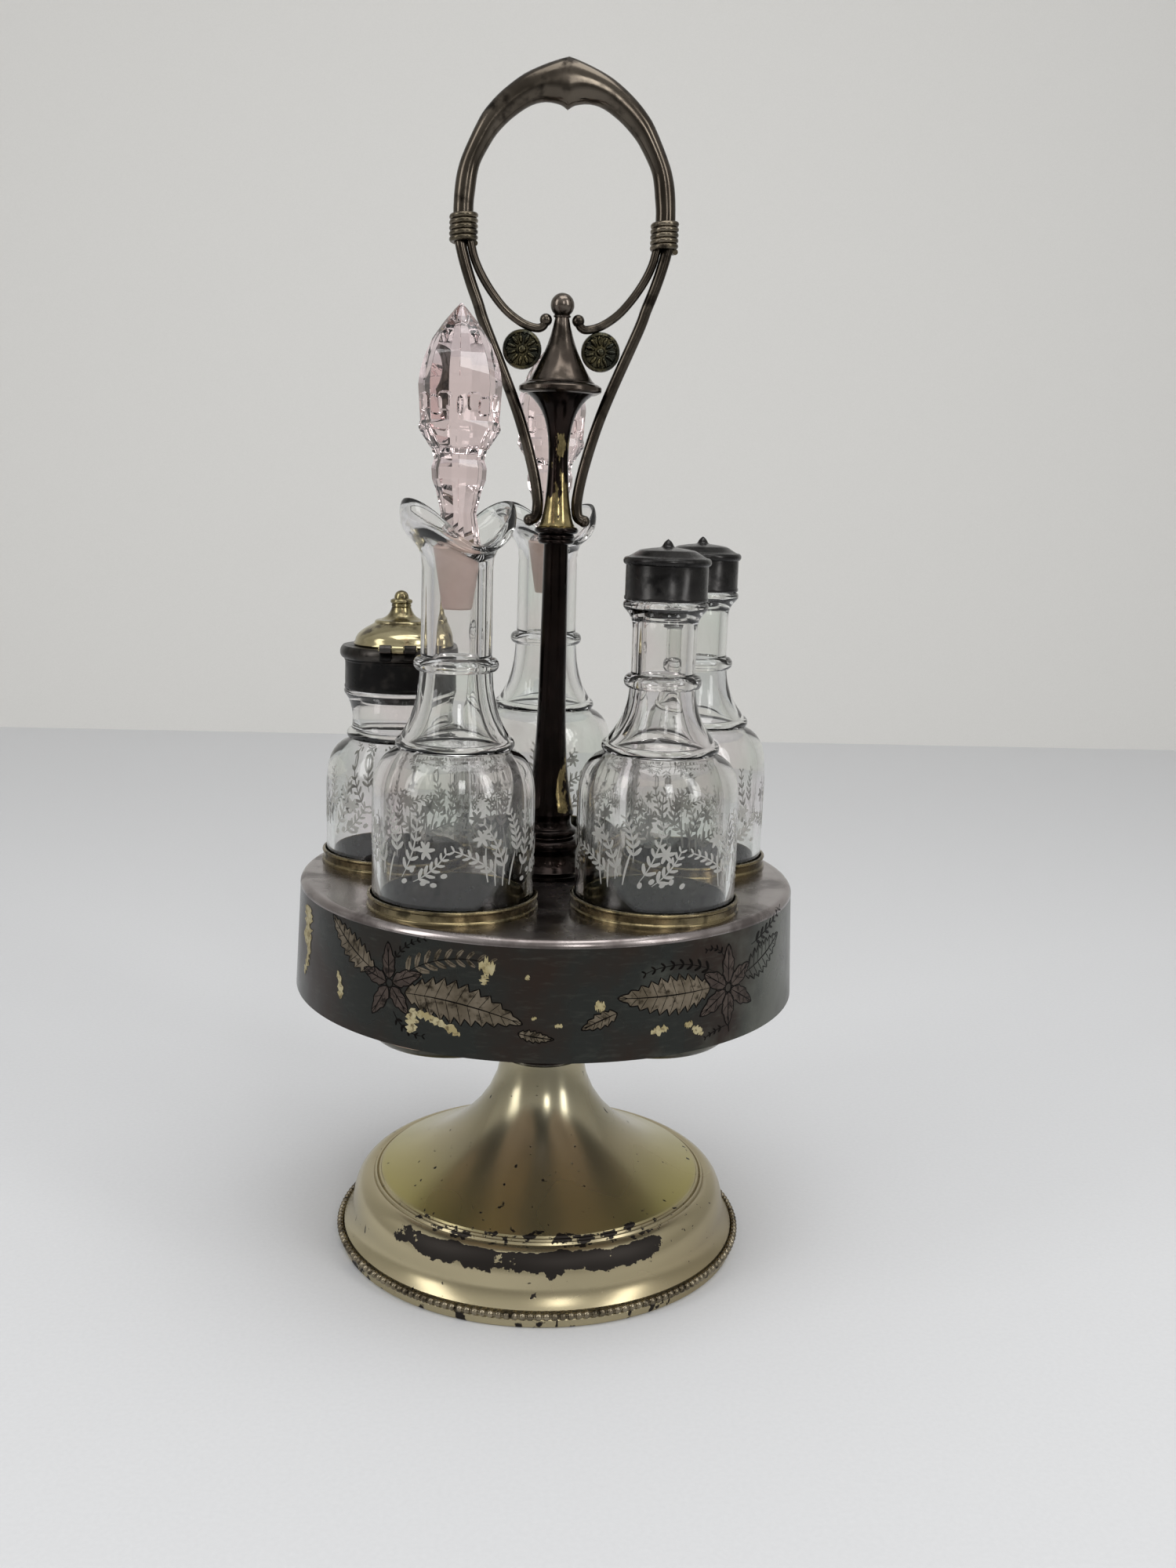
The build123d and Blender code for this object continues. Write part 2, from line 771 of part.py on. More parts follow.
def stopper(place):
    """Ground taper plug under a faceted shank and pointed head."""
    x, y = place
    at_flare = neck_bore - plug_gap
    plug_low = at_flare - plug_taper * (lip_start - stopper_base)
    plug_high = at_flare + plug_taper * (stopper_seat - lip_start)
    with BuildPart() as piece:
        for rise, radius in stopper_rings:
            with BuildSketch(Plane((x, y, stopper_seat + rise))):
                RegularPolygon(radius, stopper_sides, rotation=180 / stopper_sides)
        loft(ruled=True)
        with BuildSketch(upright(place)):
            Polygon(
                (0, stopper_base),
                (plug_low - 0.5, stopper_base),
                (plug_low, stopper_base + 0.6),
                (plug_high, stopper_seat - 0.5),
                (plug_high - 0.5, stopper_seat),
                (0, stopper_seat),
                align=None,
            )
        revolve(axis=Axis((x, y, 0), (0, 0, 1)))
    return piece.part


for name, spot in (("front", "front_left"), ("back", "back")):
    save(oil_bottle(bottle_place[spot]), f"oil_bottle_{name}")
    save(stopper(bottle_place[spot]), f"oil_stopper_{name}")


def shaker_outline():
    shoulder(shoulder_height, shoulder_height - shoulder_drop)
    waist(shoulder_height, shaker_bead_height, shaker_neck_radius)
    neck_top = shaker_lip_height - 9.0
    finish_radius = cap_radius - cap_wall - cap_gap
    Line((shaker_neck_radius, shaker_bead_height + bead_half), (shaker_neck_radius, neck_top))
    Bezier(
        (shaker_neck_radius, neck_top),
        (shaker_neck_radius, neck_top + 4.0),
        (shaker_lip_radius - 1.4, shaker_lip_height - 4.0),
        (shaker_lip_radius, shaker_lip_height - 2.2),
    )
    RadiusArc(
        (shaker_lip_radius, shaker_lip_height - 2.2),
        (shaker_lip_radius - 0.8, shaker_lip_height),
        -1.4,
    )
    Polyline(
        (shaker_lip_radius - 0.8, shaker_lip_height),
        (finish_radius, shaker_lip_height),
        (finish_radius, shaker_lip_height + finish_height),
        (0, shaker_lip_height + finish_height),
        (0, cup_floor),
    )


def shaker_hollow():
    glass_hollow(shoulder_height, shoulder_height - shoulder_drop, shaker_bead_height)
    top = shaker_lip_height + finish_height + 1.0
    Polyline(
        (neck_bore, shaker_bead_height), (neck_bore, top), (0, top), (0, cup_floor + glass_base)
    )


cap_bottom = shaker_lip_height + seat_gap
cap_shoulder = cap_bottom + cap_height


def cap_outline():
    Line((0, cap_bottom), (cap_radius, cap_bottom))
    Line((cap_radius, cap_bottom), (cap_radius - 0.2, cap_shoulder - 2.2))
    RadiusArc((cap_radius - 0.2, cap_shoulder - 2.2), (cap_radius - 0.3, cap_shoulder), -1.15)
    Bezier(
        (cap_radius - 0.3, cap_shoulder),
        (cap_radius - 4.0, cap_shoulder + 2.2),
        (5.0, cap_shoulder + 2.4),
        (2.4, cap_shoulder + 3.0),
    )
    Bezier(
        (2.4, cap_shoulder + 3.0),
        (1.5, cap_shoulder + 3.5),
        (1.9, cap_shoulder + 4.4),
        (0, cap_shoulder + 5.6),
    )
    Line((0, cap_shoulder + 5.6), (0, cap_bottom))


def cap_hollow():
    inside = cap_radius - cap_wall
    Line((0, cap_bottom), (inside, cap_bottom))
    Line((inside, cap_bottom), (inside, cap_shoulder - 1.6))
    Bezier(
        (inside, cap_shoulder - 1.6),
        (inside - 3.0, cap_shoulder + 1.0),
        (5.0, cap_shoulder + 1.3),
        (0, cap_shoulder + 1.7),
    )
    Line((0, cap_shoulder + 1.7), (0, cap_bottom))


def shaker_cap(place):
    """Screw cap with a pierced dome: two rings of pouring holes round the point."""
    blank = turned(place, cap_outline, cap_hollow)
    with BuildPart() as piece:
        add(blank)
        with BuildSketch(Plane((place[0], place[1], cap_shoulder - 1.0))):
            with PolarLocations(4.4, 6):
                Circle(pouring_hole)
            with PolarLocations(7.4, 12):
                Circle(pouring_hole)
        extrude(amount=6.0, mode=Mode.SUBTRACT)
    return piece.part


for name, spot in (("front", "front_right"), ("right", "right")):
    save(turned(bottle_place[spot], shaker_outline, shaker_hollow), f"shaker_bottle_{name}")
    save(shaker_cap(bottle_place[spot]), f"shaker_cap_{name}")

# ---------------------------------------------------------------- mustard jar
jar_place = bottle_place["left"]


def jar_outline():
    shoulder(jar_shoulder_height, jar_shoulder_height - shoulder_drop)
    ring_top = jar_shoulder_height + ring_width
    Bezier(
        (shoulder_radius - 0.8, ring_top),
        (jar_waist_radius, ring_top + 0.6),
        (jar_waist_radius - 0.4, jar_lip_height - 6.0),
        (jar_lip_radius, jar_lip_height - 1.4),
    )
    Polyline(
        (jar_lip_radius, jar_lip_height - 1.4),
        (jar_lip_radius, jar_lip_height),
        (jar_finish_radius, jar_lip_height),
        (jar_finish_radius, jar_lip_height + jar_finish_height),
        (0, jar_lip_height + jar_finish_height),
        (0, cup_floor),
    )


def jar_hollow():
    inside = bottle_radius - glass_wall
    floor = cup_floor + glass_base
    low = jar_shoulder_height - shoulder_drop
    mouth = (jar_mouth_radius, jar_shoulder_height + 3.0)
    top = jar_lip_height + jar_finish_height + 1.0
    Line((0, floor), (inside - 5.0, floor))
    RadiusArc((inside - 5.0, floor), (inside, floor + 5.0), -5.0)
    Line((inside, floor + 5.0), (inside, low))
    Bezier(
        (inside, low),
        (inside, jar_shoulder_height - 10.0),
        (jar_mouth_radius + 2.0, jar_shoulder_height - 4.0),
        mouth,
    )
    Polyline(mouth, (jar_mouth_radius, top), (0, top), (0, floor))


save(turned(jar_place, jar_outline, jar_hollow), "mustard_jar")

collar_low = jar_lip_height
rim_low = collar_low + collar_height
rim_top = rim_low + rim_bead_height
lid_low = rim_top + seat_gap
hinge_offset = rim_bead_radius + knuckle_radius + seat_gap
hinge_y = jar_place[1] - hinge_offset
hinge_z = lid_low + leaf_thickness / 2


def mustard_collar_outline():
    mouth = jar_mouth_radius + 1.2
    over_glass = jar_lip_height + jar_finish_height + 0.4
    Line((jar_finish_radius, collar_low), (jar_lip_radius, collar_low))
    Line((jar_lip_radius, collar_low), (jar_lip_radius, rim_low))
    RadiusArc((jar_lip_radius, rim_low), (rim_bead_radius - 1.0, rim_top), -2.5)
    Line((rim_bead_radius - 1.0, rim_top), (mouth, rim_top))
    Polyline(
        (mouth, rim_top), (mouth, over_glass), (jar_finish_radius, over_glass),
        (jar_finish_radius, collar_low),
    )


def knuckle(x_low, length):
    """Barrel of the hinge from x_low along +X, with its bore left to the caller."""
    with BuildSketch(Plane((x_low, hinge_y, hinge_z), x_dir=(0, 1, 0), z_dir=(1, 0, 0))) as barrel:
        Circle(knuckle_radius)
    extrude(barrel.sketch, amount=length)


def hinge_bore(radius):
    start = Plane((jar_place[0] - 10, hinge_y, hinge_z), x_dir=(0, 1, 0), z_dir=(1, 0, 0))
    with BuildSketch(start) as bore:
        Circle(radius)
    extrude(bore.sketch, amount=20, mode=Mode.SUBTRACT)


knuckle_starts = (
    jar_place[0] - 1.5 * knuckle_length - knuckle_gap,
    jar_place[0] + 0.5 * knuckle_length + knuckle_gap,
)
collar_ring = turned(jar_place, mustard_collar_outline)
with BuildPart() as mustard_collar:
    add(collar_ring)
    for start in knuckle_starts:
        knuckle(start, knuckle_length)
        with BuildSketch(Plane((start, 0, 0), x_dir=(0, 1, 0), z_dir=(1, 0, 0))):
            Polygon(
                (hinge_y, hinge_z - knuckle_radius),
                (hinge_y + hinge_offset - jar_lip_radius + 0.8, rim_low + 0.8),
                (hinge_y + hinge_offset - jar_lip_radius + 0.8, hinge_z - 0.8),
                (hinge_y, hinge_z),
                align=None,
            )
        extrude(amount=knuckle_length)
    hinge_bore(hinge_pin_radius)
save(mustard_collar.part, "mustard_collar")

with BuildPart() as mustard_hinge_pin:
    pin_length = 3 * knuckle_length + 2 * knuckle_gap + 0.8
    with BuildSketch(Plane((jar_place[0] - pin_length / 2, hinge_y, hinge_z), x_dir=(0, 1, 0),
                           z_dir=(1, 0, 0))):
        Circle(hinge_pin_radius)
    extrude(amount=pin_length)
save(mustard_hinge_pin.part, "mustard_hinge_pin")

knob_low = lid_low + lid_height


def lid_outline():
    step = lid_low + 8.0
    Line((0, lid_low), (lid_radius, lid_low))
    Line((lid_radius, lid_low), (lid_radius, lid_low + leaf_thickness))
    Bezier(
        (lid_radius, lid_low + leaf_thickness),
        (lid_radius - 0.4, lid_low + 4.2),
        (12.0, lid_low + 5.6),
        (8.6, step),
    )
    Line((8.6, step), (7.9, step + 0.7))
    Bezier((7.9, step + 0.7), (5.2, step + 1.3), (3.7, step + 2.6), (3.4, knob_low))
    Line((3.4, knob_low), (0, knob_low))
    Line((0, knob_low), (0, lid_low))


def lid_hollow():
    inner = lid_radius - sheet_wall
    Line((0, lid_low), (inner, lid_low))
    Bezier(
        (inner, lid_low),
        (inner - 0.6, lid_low + 3.4),
        (10.8, lid_low + 5.0),
        (7.2, lid_low + 7.0),
    )
    Line((7.2, lid_low + 7.0), (0, lid_low + 7.0))
    Line((0, lid_low + 7.0), (0, lid_low))


lid_dome = turned(jar_place, lid_outline, lid_hollow)
with BuildPart() as mustard_lid:
    add(lid_dome)
    lid_knuckle = knuckle_length - 2 * knuckle_gap + 0.3
    knuckle(jar_place[0] - lid_knuckle / 2, lid_knuckle)
    with BuildSketch(Plane((jar_place[0] - lid_knuckle / 2, 0, 0), x_dir=(0, 1, 0),
                           z_dir=(1, 0, 0))):
        Polygon(
            (hinge_y, lid_low),
            (hinge_y + hinge_offset - lid_radius + 1.6, lid_low),
            (hinge_y + hinge_offset - lid_radius + 1.6, lid_low + leaf_thickness),
            (hinge_y, lid_low + leaf_thickness),
            align=None,
        )
    extrude(amount=lid_knuckle)
    hinge_bore(hinge_pin_radius + running_fit)
save(mustard_lid.part, "mustard_lid")


def knob_outline():
    Line((0, knob_low), (3.3, knob_low))
    Line((3.3, knob_low), (3.5, knob_low + 1.6))
    RadiusArc((3.5, knob_low + 1.6), (3.7, knob_low + 2.6), -0.7)
    Line((3.7, knob_low + 2.6), (2.5, knob_low + 3.2))
    Bezier(
        (2.5, knob_low + 3.2),
        (2.5, knob_low + 5.2),
        (1.2, knob_low + 5.9),
        (0, knob_low + 5.9),
    )
    Line((0, knob_low + 5.9), (0, knob_low))


save(turned(jar_place, knob_outline), "mustard_knob")
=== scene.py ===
# %% [markdown]
# A revolving castor set: five glass bottles stand in a round plated drum that turns on a spun
# foot, under a tall column with a carrying handle. The measured parts come from the CAD frame.
# Blender adds what the eye sees: smooth spun metal, tarnish, bright-cut engraving and glass.

# %% Load the frame
import random
from math import atan2, cos, pi, radians, sin

import bmesh
import bpy
from mathutils import Matrix, Vector
from mathutils.geometry import interpolate_bezier


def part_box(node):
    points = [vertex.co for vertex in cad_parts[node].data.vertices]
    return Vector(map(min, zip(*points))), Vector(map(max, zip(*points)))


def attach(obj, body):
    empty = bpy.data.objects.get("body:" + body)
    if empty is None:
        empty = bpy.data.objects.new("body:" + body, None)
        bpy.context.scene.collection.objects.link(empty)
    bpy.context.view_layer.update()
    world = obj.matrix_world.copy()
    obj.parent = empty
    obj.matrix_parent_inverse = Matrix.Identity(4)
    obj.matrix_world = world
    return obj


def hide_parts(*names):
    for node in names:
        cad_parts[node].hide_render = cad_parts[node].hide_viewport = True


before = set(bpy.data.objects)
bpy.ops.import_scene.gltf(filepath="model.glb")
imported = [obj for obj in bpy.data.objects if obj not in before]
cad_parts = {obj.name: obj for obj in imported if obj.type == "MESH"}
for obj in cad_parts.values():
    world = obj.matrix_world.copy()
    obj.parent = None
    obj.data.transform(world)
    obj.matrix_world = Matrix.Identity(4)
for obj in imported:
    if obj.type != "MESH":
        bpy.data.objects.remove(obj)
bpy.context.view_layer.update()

MM = 0.001

# %% [markdown]
# Nearly every piece was made on a lathe or a spinning chuck, so its shape is one half outline
# turned about an axis. An outline is written in millimetres as (radius, height) corners, and a
# triple of points is a Bezier stretch: two handles and an end. That keeps a curve to a few
# meaningful points, and the operator does the rest.


# %% Outlines, spinning and finishing a mesh
def traced(outline, per_curve=9):
    """Corner points of an outline, its curves cut into short straight steps."""
    points = []
    for item in outline:
        if isinstance(item[0], tuple):
            knots = [Vector((*p, 0)) for p in (points[-1], *item)]
            points += [tuple(p[:2]) for p in interpolate_bezier(*knots, per_curve)[1:]]
        else:
            points.append(item)
    return points


def spin_into(bm, outline, matrix=Matrix(), steps=96, material=0, ring=False):
    """Turns an outline about +Z inside bm. A ring's outline is joined end to end."""
    before = set(bm.faces)
    verts = [bm.verts.new((r * MM, 0, z * MM)) for r, z in traced(outline)]
    edges = [bm.edges.new(pair) for pair in zip(verts, verts[1:])]
    if ring:
        edges.append(bm.edges.new((verts[-1], verts[0])))
    bmesh.ops.spin(bm, geom=verts + edges, cent=(0, 0, 0), axis=(0, 0, 1), angle=2 * pi,
                   steps=steps, use_merge=True, use_duplicate=False)
    faces = [f for f in bm.faces if f not in before]
    moved = list({v for f in faces for v in f.verts})
    bmesh.ops.remove_doubles(bm, verts=moved, dist=1e-6)
    faces = [f for f in bm.faces if f not in before]
    bmesh.ops.transform(bm, matrix=matrix, verts=list({v for f in faces for v in f.verts}))
    for face in faces:
        face.material_index = material
    return faces


def finished(bm, name, body, finishes, replaced=(), sharp=32):
    """Makes the object: normals out, soft faces, hard edges where the shape turns sharply."""
    bmesh.ops.recalc_face_normals(bm, faces=bm.faces)
    for face in bm.faces:
        face.smooth = True
    for edge in bm.edges:
        if len(edge.link_faces) == 2:
            edge.smooth = edge.calc_face_angle(0) < radians(sharp)
    mesh = bpy.data.meshes.new(name)
    bm.to_mesh(mesh)
    bm.free()
    piece = bpy.data.objects.new(name, mesh)
    bpy.context.scene.collection.objects.link(piece)
    for finish in finishes:
        mesh.materials.append(finish)
    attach(piece, body)
    if replaced:
        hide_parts(*replaced)
    triangles = sum(len(p.vertices) - 2 for p in mesh.polygons)
    print(f"{name}: {triangles} triangles, rides on {body}")
    return piece


def at_axis(node, lift=0.0):
    """Matrix that puts a turned piece on a node's own axis, lift millimetres up."""
    low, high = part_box(node)
    return Matrix.Translation(((low[0] + high[0]) / 2, (low[1] + high[1]) / 2, lift * MM))


def heights(node):
    """A node's lowest and highest points in millimetres."""
    low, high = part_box(node)
    return low[2] / MM, high[2] / MM


def tallness(node):
    """A node's height in millimetres."""
    low, high = heights(node)
    return high - low


def radius_of(node):
    """Half the width of a round node in millimetres."""
    low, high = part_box(node)
    return (high[0] - low[0]) / 2 / MM


def lathed(name, body, finish, outline, replaced, matrix=Matrix(), ring=True, steps=96):
    """One turned piece of one material."""
    bm = bmesh.new()
    spin_into(bm, outline, matrix, steps=steps, ring=ring)
    return finished(bm, name, body, [finish], replaced)


def turned(name, node, finish, outline, body="frame", ring=True, steps=96):
    """A turned piece whose outline is measured up from the foot of the CAD node it replaces."""
    matrix = at_axis(node, heights(node)[0])
    return lathed(name, body, finish, outline, [node], matrix, ring, steps)


def bevelled(bm, geometry, width_mm, segments, affect="EDGES", clamp=False):
    """Rounds edges or corners."""
    bmesh.ops.bevel(bm, geom=geometry, offset=width_mm * MM, offset_type="OFFSET", affect=affect,
                    segments=segments, profile=0.5, material=-1, clamp_overlap=clamp)


def ball(bm, radius_mm, across, around, matrix):
    """A small sphere, or whatever the matrix squashes it to."""
    bmesh.ops.create_uvsphere(bm, u_segments=across, v_segments=around, radius=radius_mm * MM, matrix=matrix)


def around(turn, out_mm, up_mm):
    """Matrix that moves a thing out from the upright axis, up, and then turns it round."""
    return Matrix.Rotation(turn, 4, "Z") @ Matrix.Translation((out_mm * MM, 0, up_mm * MM))


# %% [markdown]
# Old silver plate is a stack of thin layers: base metal, silver worn thin, and black sulphide
# where nobody polishes. A finish is therefore built from a base colour, one or two tarnish
# colours mixed by noise of a real size, and a roughness that follows the same noise, because
# tarnish is duller than clean metal. One helper adds a node and wires it up.


# %% Material helpers
def linear(code):
    """sRGB hex to the linear RGBA that shaders use."""
    parts = [int(code[i:i + 2], 16) / 255 for i in (1, 3, 5)]
    return (*(c / 12.92 if c <= 0.04045 else ((c + 0.055) / 1.055) ** 2.4 for c in parts), 1)


def add(tree, kind, links=None, stops=None, **settings):
    """Adds a node. links maps a socket to a value or to another node's output."""
    node = tree.nodes.new(kind)
    for key, value in settings.items():
        setattr(node, key, value)
    if stops:
        ramp = node.color_ramp.elements
        while len(ramp) < len(stops):
            ramp.new(1.0)
        for element, (place, colour) in zip(ramp, stops):
            element.position = place
            element.color = linear(colour)
    for socket, value in (links or {}).items():
        if isinstance(value, bpy.types.NodeSocket):
            tree.links.new(value, node.inputs[socket])
        else:
            node.inputs[socket].default_value = value
    return node


def surface(name, **constants):
    """A material with one Principled shader whose constants stay on its own sockets."""
    material = bpy.data.materials.new(name)
    material.use_nodes = True
    tree = material.node_tree
    shader = tree.nodes["Principled BSDF"]
    for socket, value in constants.items():
        shader.inputs[socket.replace("_", " ")].default_value = value
    return material, tree, shader


def speckle(tree, size_mm, detail=4.0, rough=0.55, stretch=(1, 1, 1), shift=0.0):
    """Noise whose lumps are size_mm across, in object space."""
    where = add(tree, "ShaderNodeTexCoord").outputs["Object"]
    moved = add(tree, "ShaderNodeMapping", {"Vector": where, "Scale": stretch,
                                            "Location": (shift, shift * 0.7, 0)})
    return add(tree, "ShaderNodeTexNoise", {
        "Vector": moved.outputs["Vector"], "Scale": 1 / (size_mm * MM), "Detail": detail,
        "Roughness": rough}).outputs["Fac"]


def ramped(tree, factor, low, high, to_low=0.0, to_high=1.0):
    """Stretches a value from one range to another, clamped."""
    return add(tree, "ShaderNodeMapRange", {
        "Value": factor, "From Min": low, "From Max": high, "To Min": to_low,
        "To Max": to_high}, clamp=True).outputs["Result"]


def joined(tree, operation, first, second):
    """Arithmetic on two values."""
    return add(tree, "ShaderNodeMath", {0: first, 1: second}, operation=operation).outputs[0]


def mixed(tree, factor, first, second):
    """Blend of two colours, each a hex code or an output."""
    node = add(tree, "ShaderNodeMix", data_type="RGBA", clamp_factor=True)
    for socket, value in ((node.inputs[0], factor), (node.inputs[6], first),
                          (node.inputs[7], second)):
        if isinstance(value, bpy.types.NodeSocket):
            tree.links.new(value, socket)
        else:
            socket.default_value = linear(value) if isinstance(value, str) else value
    return node.outputs[2]


def position(tree):
    """The three object coordinates as separate values, in metres."""
    where = add(tree, "ShaderNodeTexCoord").outputs["Object"]
    return add(tree, "ShaderNodeSeparateXYZ", {"Vector": where}).outputs


def coloured(tree, shader, colour, roughness=None):
    """Wires a colour to the shader, and a roughness where it varies."""
    tree.links.new(colour, shader.inputs["Base Color"])
    if roughness is not None:
        tree.links.new(roughness, shader.inputs["Roughness"])


def dented(tree, shader, height, depth_mm, strength=1.0):
    """Fine relief from a value, its depth in millimetres."""
    bump = add(tree, "ShaderNodeBump", {"Height": height, "Distance": depth_mm * MM,
                                        "Strength": strength})
    tree.links.new(bump.outputs["Normal"], shader.inputs["Normal"])


def tarnished(name, clean, dull, dark, size_mm, gloss=(0.18, 0.42), grain=None, metallic=1.0):
    """Metal in three shades of tarnish. grain stretches fine scratches along an axis."""
    material, tree, shader = surface(name, Metallic=metallic)
    patches = speckle(tree, size_mm, 5.0)
    clouds = speckle(tree, size_mm * 3.1, 3.0, shift=0.31)
    colour = mixed(tree, ramped(tree, clouds, 0.38, 0.62), clean, dull)
    colour = mixed(tree, ramped(tree, patches, 0.52, 0.66), colour, dark)
    coloured(tree, shader, colour, ramped(tree, patches, 0.35, 0.65, *gloss))
    scratches = speckle(tree, 0.6, 3.0, stretch=grain or (1, 1, 1))
    dented(tree, shader, scratches, 0.02, 0.35)
    return material


# %% [markdown]
# The foot is Britannia metal under silver plate, spun to shape and burnished. It kept a warm
# nickel-gold colour, is greener above the seam, and on the crown of the moulding, where
# hands and cloths rubbed it, the plate has worn through to dark metal in ragged patches.
# The wear is placed by height and direction, and noise gives it the torn edge.


# %% Worn silver plate on the foot
def worn_plate():
    material, tree, shader = surface("worn_silver_plate_on_britannia_metal", Metallic=0.88)
    x, y, z = position(tree)

    def both(first, second):
        return joined(tree, "MULTIPLY", first, second)

    def either(first, second):
        return joined(tree, "MAXIMUM", first, second)

    clouds = speckle(tree, 45, 1.0)
    colour = mixed(tree, ramped(tree, clouds, 0.2, 0.8), "#beb392", "#a2977a")
    green = both(ramped(tree, z, 0.0235, 0.025), ramped(tree, z, 0.038, 0.025))
    sides = ramped(tree, joined(tree, "ABSOLUTE", x, 0.0), 0.008, 0.042, 0.15, 0.55)
    colour = mixed(tree, both(green, sides), colour, "#b3a94e")
    brown = both(ramped(tree, x, 0.012, 0.05), ramped(tree, z, 0.022, 0.012))
    colour = mixed(tree, both(brown, 0.35), colour, "#94825f")
    grey_clouds = ramped(tree, speckle(tree, 26, 1.0, shift=0.6), 0.2, 0.85)
    neck_grey = both(ramped(tree, z, 0.030, 0.045), grey_clouds)
    colour = mixed(tree, both(neck_grey, 0.55), colour, "#8f938a")
    # the crown of the moulding, front half: the plate is gone
    crown = both(ramped(tree, z, 0.0140, 0.0180), ramped(tree, z, 0.0226, 0.0214))
    front = both(ramped(tree, y, -0.036, -0.052), ramped(tree, x, 0.046, 0.030))
    wear = joined(tree, "ADD", both(both(crown, front), 0.36), speckle(tree, 8, 6.0, 0.62, shift=0.13))
    gone = ramped(tree, wear, 0.715, 0.725)
    seam_band = both(ramped(tree, z, 0.0222, 0.0228), ramped(tree, z, 0.0262, 0.0242))
    seam_front = both(seam_band, ramped(tree, y, -0.030, -0.050))
    chips = joined(tree, "ADD", both(seam_front, 0.2), speckle(tree, 5, 5.0, 0.6, shift=0.47))
    gone = either(gone, ramped(tree, chips, 0.725, 0.735))
    for size, lean, limit, shift in (
            (3.4, 0.3, 0.715, 0.77), (2.4, 2.6, 0.73, 0.21), (6.0, 1.0, 0.735, 0.93)):
        flecks = speckle(tree, size, 3.0, 0.5, stretch=(1, 1, lean), shift=shift)
        gone = either(gone, ramped(tree, flecks, limit, limit + 0.012))
    rim_specks = ramped(tree, speckle(tree, 6, 4.0), 0.57, 0.6)
    gone = either(gone, both(ramped(tree, z, 0.0032, 0.0026), rim_specks))
    colour = mixed(tree, gone, colour, "#2f2b28")
    dull = ramped(tree, clouds, 0.1, 0.9, 0.16, 0.36)
    rough = add(tree, "ShaderNodeMix", {0: gone, 2: dull, 3: 0.46}, data_type="FLOAT")
    coloured(tree, shader, colour, rough.outputs[0])
    relief = joined(tree, "SUBTRACT", both(speckle(tree, 0.8, 3.0), 0.2), gone)
    dented(tree, shader, relief, 0.04, 0.5)
    return material


worn_silver = worn_plate()
bead_metal = tarnished("tarnished_bead_wire", "#9a907b", "#6c6352", "#3a342b", 3.0, (0.2, 0.36))
binding_metal = tarnished("grey_brown_binding_wire", "#7b7264", "#575043", "#2d2822", 4.0, (0.2, 0.36))

# %% [markdown]
# The foot's outline is one sweep from the rim, up over the ogee moulding to the seam, then
# a trumpet to the neck. The wall is thin sheet, so the inside is the same line moved in.
# The bead wire round the rim is a row of small balls: each has few faces, since there are
# many, and a thin wire fillet lies under them.

# %% The spun foot
foot_high = heights("foot_shell")[1]
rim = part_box("foot_shell")[1][0] / MM
seam = rim - 13.4
neck = 14.6
wall = 1.2
bush = 6.0


def foot_line(shift):
    """Outline from the rim to the neck, moved in and down by shift."""
    def at(r, z):
        return (r - shift, z - shift)
    return [
        at(rim - 1.0, 5.6),
        (at(rim - 2.6, 7.4), at(rim - 4.0, 10.0), at(rim - 4.2, 12.8)),
        (at(rim - 4.9, 20.0), at(seam + 5.4, 22.9), at(seam + 2.6, 22.9)),
        at(seam + 1.9, 22.6), at(seam + 1.5, 23.3), at(seam + 0.9, 23.3), at(seam + 0.5, 22.8),
        at(seam + 0.1, 23.7), at(seam - 0.5, 23.8), at(seam - 0.8, 24.5),
        (at(seam - 23.6, 33.4), at(neck + 1.9, foot_high - 20), at(neck, foot_high)),
    ]


foot_outline = [
    (rim - wall, 0.3), (rim - 0.5, 0.0), (rim, 0.5), (rim, 2.6), (rim - 0.3, 3.0), (rim - 1.0, 3.1),
    *foot_line(0),
    (bush, foot_high), (bush, foot_high - wall),
    *[tuple(p) for p in reversed(traced(foot_line(wall)))],
]
lathed("foot", "foot", worn_silver, foot_outline, ["foot_shell"], steps=144)

bead_count = 172
bm = bmesh.new()
ring_low, ring_high = heights("foot_bead_rim")
bead_radius = (ring_high - ring_low) / 2
bead_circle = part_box("foot_bead_rim")[1][0] / MM - bead_radius
middle = (ring_low + ring_high) / 2
for turn in range(bead_count):
    ball(bm, bead_radius, 8, 6, around(2 * pi * turn / bead_count, bead_circle, middle))
fillet = [(bead_circle + out, middle + up)
          for out, up in ((-0.6, -0.7), (0.3, -0.7), (0.3, 0.7), (-0.6, 0.7))]
spin_into(bm, fillet, ring=True, steps=144)
finished(bm, "foot_beads", "foot", [bead_metal], ["foot_bead_rim"], sharp=60)

# %% [markdown]
# The drum is a plated band under a flat plate with a rolled edge. Its black is silver
# sulphide: almost neutral, with brown and green clouds and pale streaks, and a painted sheen that
# makes it paler towards its right side. The surface under the tarnish is still smooth, so it keeps a soft
# gloss.


# %% Drum finishes
def blackened(name, main, warm, pale):
    material, tree, shader = surface(name, Metallic=0.72)
    x = position(tree)[0]
    clouds = speckle(tree, 26, 4.0)
    colour = mixed(tree, ramped(tree, clouds, 0.42, 0.62), main, warm)
    # painted sheen: the band is coloured paler towards its right side (+x), its edge torn by noise
    right_side_sheen = ramped(tree, joined(tree, "ADD", joined(tree, "MULTIPLY", x, 6.0),
                                 speckle(tree, 20, 4.0, shift=0.4)), 0.72, 1.05)
    colour = mixed(tree, right_side_sheen, colour, pale)
    streaks = ramped(tree, speckle(tree, 2.2, 4.0, stretch=(0.4, 0.4, 2.2)), 0.55, 0.75)
    colour = mixed(tree, joined(tree, "MULTIPLY", streaks, 0.22), colour, pale)
    coloured(tree, shader, colour, ramped(tree, clouds, 0.3, 0.7, 0.22, 0.38))
    dented(tree, shader, speckle(tree, 1.3, 4.0), 0.03, 0.4)
    return material


